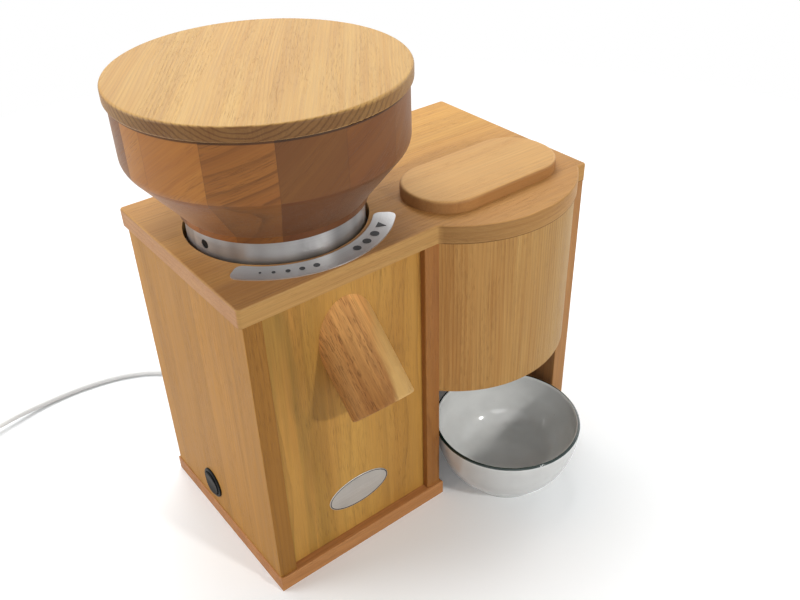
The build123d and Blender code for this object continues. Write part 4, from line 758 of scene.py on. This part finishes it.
def cord_relief(material):
    """The tapered strain relief: flanges inside and outside the board, then a ribbed sleeve."""
    low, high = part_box("strain_relief")
    middle = ((low.x + high.x) / 2, (low.z + high.z) / 2)
    flange, hole, tail = (high.x - low.x) / 2, 0.0062, CORD_D / 2 + 0.001
    board_in, board_out = low.y + 0.004, low.y + 0.012
    outline = [(0, low.y), (flange - 0.0008, low.y), (flange, low.y + 0.0008), (flange, board_in),
               (hole, board_in), (hole, board_out), (flange, board_out), (flange, board_out + 0.0018),
               (flange - 0.0012, board_out + 0.003), (hole, board_out + 0.003)]
    ribs, groove = 6, 0.0009
    start, pitch = board_out + 0.0035, (high.y - board_out - 0.0045) / ribs
    for number in range(ribs):
        radius = hole + (tail - hole) * (number + 0.5) / ribs
        y = start + pitch * number
        outline += [(radius - groove, y), (radius - groove, y + 0.3 * pitch), (radius, y + 0.42 * pitch),
                    (radius, y + 0.88 * pitch)]
    outline += [(tail, high.y - 0.0008), (tail - 0.0004, high.y), (0, high.y)]
    piece = lathe("cord_relief", outline, middle, material, steps=64, axis="y")
    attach(piece, "case")
    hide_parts("strain_relief")
    return piece


def moulded_plug(material):
    """The flat plug: a collar round the cord, a body that widens to the front, grips at its sides."""
    start, before = Vector(FAR_ROUTE[-1]), Vector(FAR_ROUTE[-2])
    ahead = (start - before).normalized()
    across = Vector((-ahead.y, ahead.x, 0.0))
    # The place of each section ahead of the cord's end, its half width and its half height.
    sections = [(0.0, 0.0045, 0.0040), (0.0006, 0.0052, 0.0046), (0.006, 0.0058, 0.0050),
                (0.0065, 0.0052, 0.0046), (0.0085, 0.0056, 0.0048), (0.0105, 0.0085, 0.0056),
                (0.0140, 0.0130, 0.0065), (0.0170, 0.0150, 0.0068)]
    for number in range(5):
        at = 0.0185 + 0.0028 * number
        sections += [(at, 0.0155, 0.0068), (at + 0.0010, 0.0148, 0.0067), (at + 0.0018, 0.0155, 0.0068)]
    sections += [(0.0335, 0.0168, 0.0069), (0.0355, 0.0174, 0.0070), (0.0372, 0.0174, 0.0070),
                 (0.0378, 0.0170, 0.0066), (0.0380, 0.0160, 0.0058)]

    squareness = 0.55

    def squared(value):
        """A sine or cosine, bent so that a circle becomes a rounded square."""
        return math.copysign(abs(value) ** squareness, value)

    made = bmesh.new()
    rings = []
    for along, wide, tall in sections:
        place = start + ahead * along
        rings.append([made.verts.new(place + across * (squared(math.cos(turn)) * wide)
                                     + Vector((0, 0, squared(math.sin(turn)) * tall)))
                      for turn in turns(64)])
    skin(made, rings, start, start + ahead * sections[-1][0])
    plug = finished("moulded_plug", made, material, sharp=math.radians(50))
    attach(plug, "case")
    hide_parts("mains_plug")
    return plug


# ---- Mains cord ---------------------------------------------------------------------------------
NEAR_ROUTE = [
    (-0.032, 0.1123, 0.024), (-0.032, 0.1275, 0.024), (-0.0322, 0.1435, 0.019), (-0.034, 0.159, 0.011),
    (-0.0395, 0.173, 0.005), (-0.050, 0.185, 0.003), (-0.065, 0.1915, 0.003),
]
FAR_ROUTE = [
    (-0.086, 0.200, 0.003), (-0.100, 0.214, 0.003), (-0.118, 0.233, 0.003), (-0.139, 0.247, 0.003),
    (-0.163, 0.256, 0.003), (-0.196, 0.262, 0.003), (-0.234, 0.262, 0.0035), (-0.272, 0.255, 0.007),
    (-0.292, 0.250, 0.007),
]
COIL_MIDDLE = (-0.0617, 0.2223)
COIL_R = 0.033
COIL_LAYERS, LAYER_TURNS = 3, 2
COIL_FROM, COIL_TO = math.radians(262), math.radians(216)
POINTS_A_TURN = 16


def coil_points():
    """The put-away turns, wound clockwise in three layers: inwards, outwards and inwards again."""
    full = 2 * math.pi
    sweep = full * COIL_LAYERS * LAYER_TURNS - (COIL_FROM - COIL_TO)
    count = int(POINTS_A_TURN * sweep / full)
    points = []
    for i in range(count + 1):
        share = i / count
        layers = share * sweep / full / LAYER_TURNS
        layer = min(int(layers), COIL_LAYERS - 1)
        side = math.cos(math.pi * (layers - layer)) * (1.0 if layer % 2 == 0 else -1.0)
        radius = COIL_R + side * CORD_D / 2
        angle = COIL_FROM - sweep * share
        points.append((*polar(COIL_MIDDLE, radius, angle), CORD_D / 2 + layer * CORD_D))
    return points


def mains_cord(material, plug, relief):
    curve = bpy.data.curves.new("mains_cord", "CURVE")
    curve.dimensions = "3D"
    route = NEAR_ROUTE + coil_points() + FAR_ROUTE
    spline = curve.splines.new("NURBS")
    spline.points.add(len(route) - 1)
    for point, place in zip(spline.points, route):
        point.co = (*place, 1.0)
    spline.order_u = 3
    spline.use_endpoint_u = True
    spline.resolution_u = 6
    curve.bevel_depth = CORD_D / 2
    curve.bevel_resolution = 5
    curve.use_fill_caps = True
    curve.materials.append(material)
    cord = bpy.data.objects.new("mains_cord", curve)
    bpy.context.scene.collection.objects.link(cord)
    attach(cord, "case")
    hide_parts("mains_cord_near", "mains_cord_far", "cord_coil")


# ---- Materials of the solids --------------------------------------------------------------------
def plain(name, colour, speckle=0.04, per_metre=900.0, depth=0.00003, **sockets):
    """A moulded, cast or turned surface: a colour with fine unevenness in tone and height."""
    recipe = Recipe(name, **sockets)
    grain = recipe.noise(recipe.coords, (per_metre,) * 3, detail=3.0)
    value = recipe.between(grain, *NOISE_RANGE, 1.0 - speckle, 1.0 + speckle)
    recipe.colour(recipe.shade(colour, value))
    recipe.bump(grain, depth)
    return recipe.material


def brushed(name, colour, round_axis=None, dull=0.43, streaks=0.0, **sockets):
    """Brushed metal. Its fine lines lie along x, or go round the axis through the mill.

    round_axis is the radius at which the lines go round, dull the roughness and streaks how much lighter
    and darker the upright bands of painted reflection are, which stand in for the streaked highlights of
    turned metal.
    """
    recipe = Recipe(name, Metallic=1.0, **sockets)
    grain = recipe.coords
    if round_axis:
        x, y, z = recipe.split(grain)
        side = recipe.math("SUBTRACT", x, MILL_X)
        around = recipe.math("MULTIPLY", recipe.math("ARCTAN2", y, side), round_axis)
        grain = recipe.join(around, recipe.length(side, y), z)
    scratch = recipe.noise(grain, (6, 5200, 5200), detail=3.0)
    cloud = recipe.noise(recipe.coords, (40, 40, 40))
    value = recipe.math("MULTIPLY", recipe.between(scratch, *NOISE_RANGE, 0.88, 1.10),
                        recipe.between(cloud, *NOISE_RANGE, 0.95, 1.04))
    # Painted reflection: upright bands, lighter and darker at random round the axis, stand in for the
    # streaked highlights of turned metal.
    if streaks:
        reflection_band = recipe.noise(recipe.join(recipe.split(grain)[0], 0.0, 0.0), (45, 1, 1), detail=1.0)
        reflection_band = recipe.between(reflection_band, 0.35, 0.65, 1.0 - streaks, 1.0 + streaks)
        value = recipe.math("MULTIPLY", value, reflection_band)
    recipe.colour(recipe.shade(colour, value))
    recipe.rough(recipe.between(scratch, *NOISE_RANGE, dull - 0.07, dull + 0.07))
    recipe.bump(scratch, 0.00004)
    return recipe.material


def glaze():
    """White glaze, brighter inside the bowl by painted light, with a dark green line on the rim and
    faint specks.
    """
    pale, paler, inside_light_tint = (0.61, 0.62, 0.61), (0.66, 0.67, 0.66), (1.28, 1.28, 1.28)
    speck_tone, line_tone = (0.40, 0.38, 0.34), (0.004, 0.024, 0.021)
    recipe = Recipe("white_glaze", Roughness=0.12, Coat_Weight=0.2, Coat_Roughness=0.04)
    x, y, z = recipe.split(recipe.coords)
    ripple = recipe.noise(recipe.coords, (55, 55, 55))
    speck = recipe.noise(recipe.coords, (420, 420, 420), detail=1.0)
    white = recipe.mix(recipe.between(ripple, *NOISE_RANGE), pale, paler)
    # Painted light: the faces that look up, inside the bowl, are lighter than those outside.
    inside = recipe.between(recipe.split(recipe.facing)[2], -0.1, 0.2)
    white = recipe.tinted(white, inside, inside_light_tint)
    white = recipe.mix(recipe.between(speck, 0.76, 0.80, 0.0, 0.35), white, speck_tone)
    side, back = recipe.math("SUBTRACT", x, BOWL_MIDDLE.x), recipe.math("SUBTRACT", y, BOWL_MIDDLE.y)
    radius = recipe.swing(ripple, 0.0006, recipe.length(side, back))
    line = recipe.math("MULTIPLY", recipe.between(radius, BOWL_RIM - 0.0023, BOWL_RIM - 0.0020),
                       recipe.between(z, BOWL_TOP - 0.0016, BOWL_TOP - 0.0013))
    recipe.colour(recipe.mix(line, white, line_tone))
    recipe.bump(ripple, 0.00025)
    return recipe.material


def solid_materials():
    """A material for every solid of the frame. It gives back those that the small pieces take too."""
    side = wood("side_wood", True, SIDE_TONES, SIDE_LINE, edges=(0.72, 0.69, 0.74), board=0.042, seed=3,
                tilt=1.2, spread=0.06, lines=0.0036)
    right = wood("right_side_wood", True, RIGHT_TONES, RIGHT_LINE, edges=(0.84, 0.88, 0.84), board=0.05,
                 seed=12, tilt=1.2, spread=0.06, lines=0.0036)
    divider = wood("divider_wood", True, DIVIDER_TONES, DIVIDER_LINE, seed=5, tilt=1.0, lines=0.003)
    flaker = wood("flaker_lid_wood", False, FLAKER_TONES, FLAKER_LINE, edges=(0.65, 0.56, 0.51),
                  ends=(0.57, 0.49, 0.47), board=0.6, seed=8, tilt=0.3, shift=0.3, spread=0.0,
                  lines=0.0045, contrast=0.18, pores=0.15, streak=0.3)
    base = wood("base_wood", False, BASE_TONES, BASE_LINE, ends=(0.95, 0.90, 0.85), board=0.06, seed=9,
                tilt=0.8, lines=0.0035)
    board = plain("rear_board", (0.030, 0.034, 0.031), speckle=0.15, per_metre=700.0, Roughness=0.6)
    steel = brushed("steel", (0.55, 0.56, 0.57))
    ring = brushed("turned_aluminium", (0.40, 0.395, 0.395), round_axis=0.0675, dull=0.45, streaks=0.22)
    scale = brushed("scale_aluminium", (0.56, 0.56, 0.56), round_axis=0.08)
    badge = brushed("badge_metal", (0.54, 0.52, 0.49))
    black = plain("black_plastic", (0.005, 0.006, 0.006), speckle=0.12, per_metre=2600.0, Roughness=0.45,
                  Specular_IOR_Level=0.12)
    enamel = plain("dark_enamel", (0.030, 0.031, 0.033), speckle=0.10, per_metre=1800.0, Roughness=0.45)
    grey = plain("grey_plastic", (0.22, 0.22, 0.23), speckle=0.08, per_metre=1500.0, Roughness=0.5)
    stone = plain("stone", (0.50, 0.48, 0.45), speckle=0.3, per_metre=1400.0, depth=0.0003,
                  Roughness=0.9)
    felt = plain("felt", (0.50, 0.48, 0.44), speckle=0.15, per_metre=2500.0, depth=0.0002, Roughness=1.0)
    paint = plain("motor_paint", (0.09, 0.10, 0.11), speckle=0.10, Roughness=0.4)
    iron = plain("motor_iron", (0.16, 0.15, 0.145), speckle=0.18, Metallic=0.8, Roughness=0.5)
    can = plain("capacitor_can", (0.70, 0.70, 0.68), speckle=0.05, Roughness=0.35)
    bronze = brushed("bronze", (0.60, 0.38, 0.16))
    pin = brushed("pin_metal", (0.70, 0.70, 0.70))
    cord = plain("cord_plastic", (0.93, 0.93, 0.91), speckle=0.03, per_metre=1700.0, Roughness=0.5,
                 Sheen_Weight=0.6, Sheen_Roughness=0.5)
    for material, names in (
        (side, "left_side_panel corner_battens ceiling_ledges"),
        (right, "right_side_panel"),
        (divider, "divider_panel"),
        (front_wood(), "mill_front_panel"),
        (bow_wood(), "bow_front_panel"),
        (top_wood(), "top_plate"),
        (lid_wood(), "hopper_lid"),
        (flaker, "flaker_lid"),
        (base, "base_plate"),
        (spout_wood(), "spout"),
        (hopper_wood(), "hopper_bowl"),
        (board, "mill_rear_panel flaker_rear_panel bay_ceiling"),
        (steel, "wood_screws hopper_screws motor_bolts carrier_screw motor_shaft motor_bearings "
                "flaker_front_plate flaker_rear_plate spacer_bars left_roller right_roller "
                "flaker_funnel flake_chute left_gear right_gear"),
        (ring, "hopper_ring"),
        (scale, "scale_plate"),
        (badge, "name_badge"),
        (black, "switch_housing switch_rocker pointer_screw motor_fan"),
        (grey, "milling_chamber stone_holder stone_carrier"),
        (stone, "lower_stone upper_stone"),
        (felt, "hopper_seal"),
        (paint, "motor_housing motor_end_cap flaker_motor flaker_gearbox"),
        (iron, "motor_stator motor_rotor"),
        (can, "capacitor"),
        (bronze, "roller_bushes"),
        (cord, "strain_relief mains_cord_near mains_cord_far cord_coil mains_plug"),
        (pin, "plug_pins"),
    ):
        for name in names.split():
            nodes[name].data.materials.clear()
            nodes[name].data.materials.append(material)
    return cord, badge, enamel, black


# ---- The scene ----------------------------------------------------------------------------------
camera()
world()
floor()
lamp("above", at=(0.35, 0.95, 1.9), aim=(0.0, 0.0, 0.2), size=1.7, watts=30.0)
lamp("key", at=(0.25, -1.30, 0.77), aim=(0.0, 0.0, 0.15), size=0.13, watts=7.2, colour=(1.0, 0.98, 0.95))
lamp("front", at=(-0.85, -1.70, 0.55), aim=(0.0, 0.0, 0.15), size=1.0, watts=6.5)
lamp("left", at=(-1.52, 0.85, 1.02), aim=(0.0, 0.0, 0.20), size=1.2, watts=22.0)
lamp("right", at=(1.75, 0.20, 0.95), aim=(0.0, 0.0, 0.18), size=1.2, watts=7.5)
cord_material, badge_metal, enamel_black, plastic_black = solid_materials()
mains_cord(cord_material, moulded_plug(cord_material), cord_relief(cord_material))
scale_marks(enamel_black)
name_badge(badge_metal, enamel_black)
bowl(glaze())
rocker(plastic_black)

bpy.context.scene.view_settings.view_transform = "Standard"
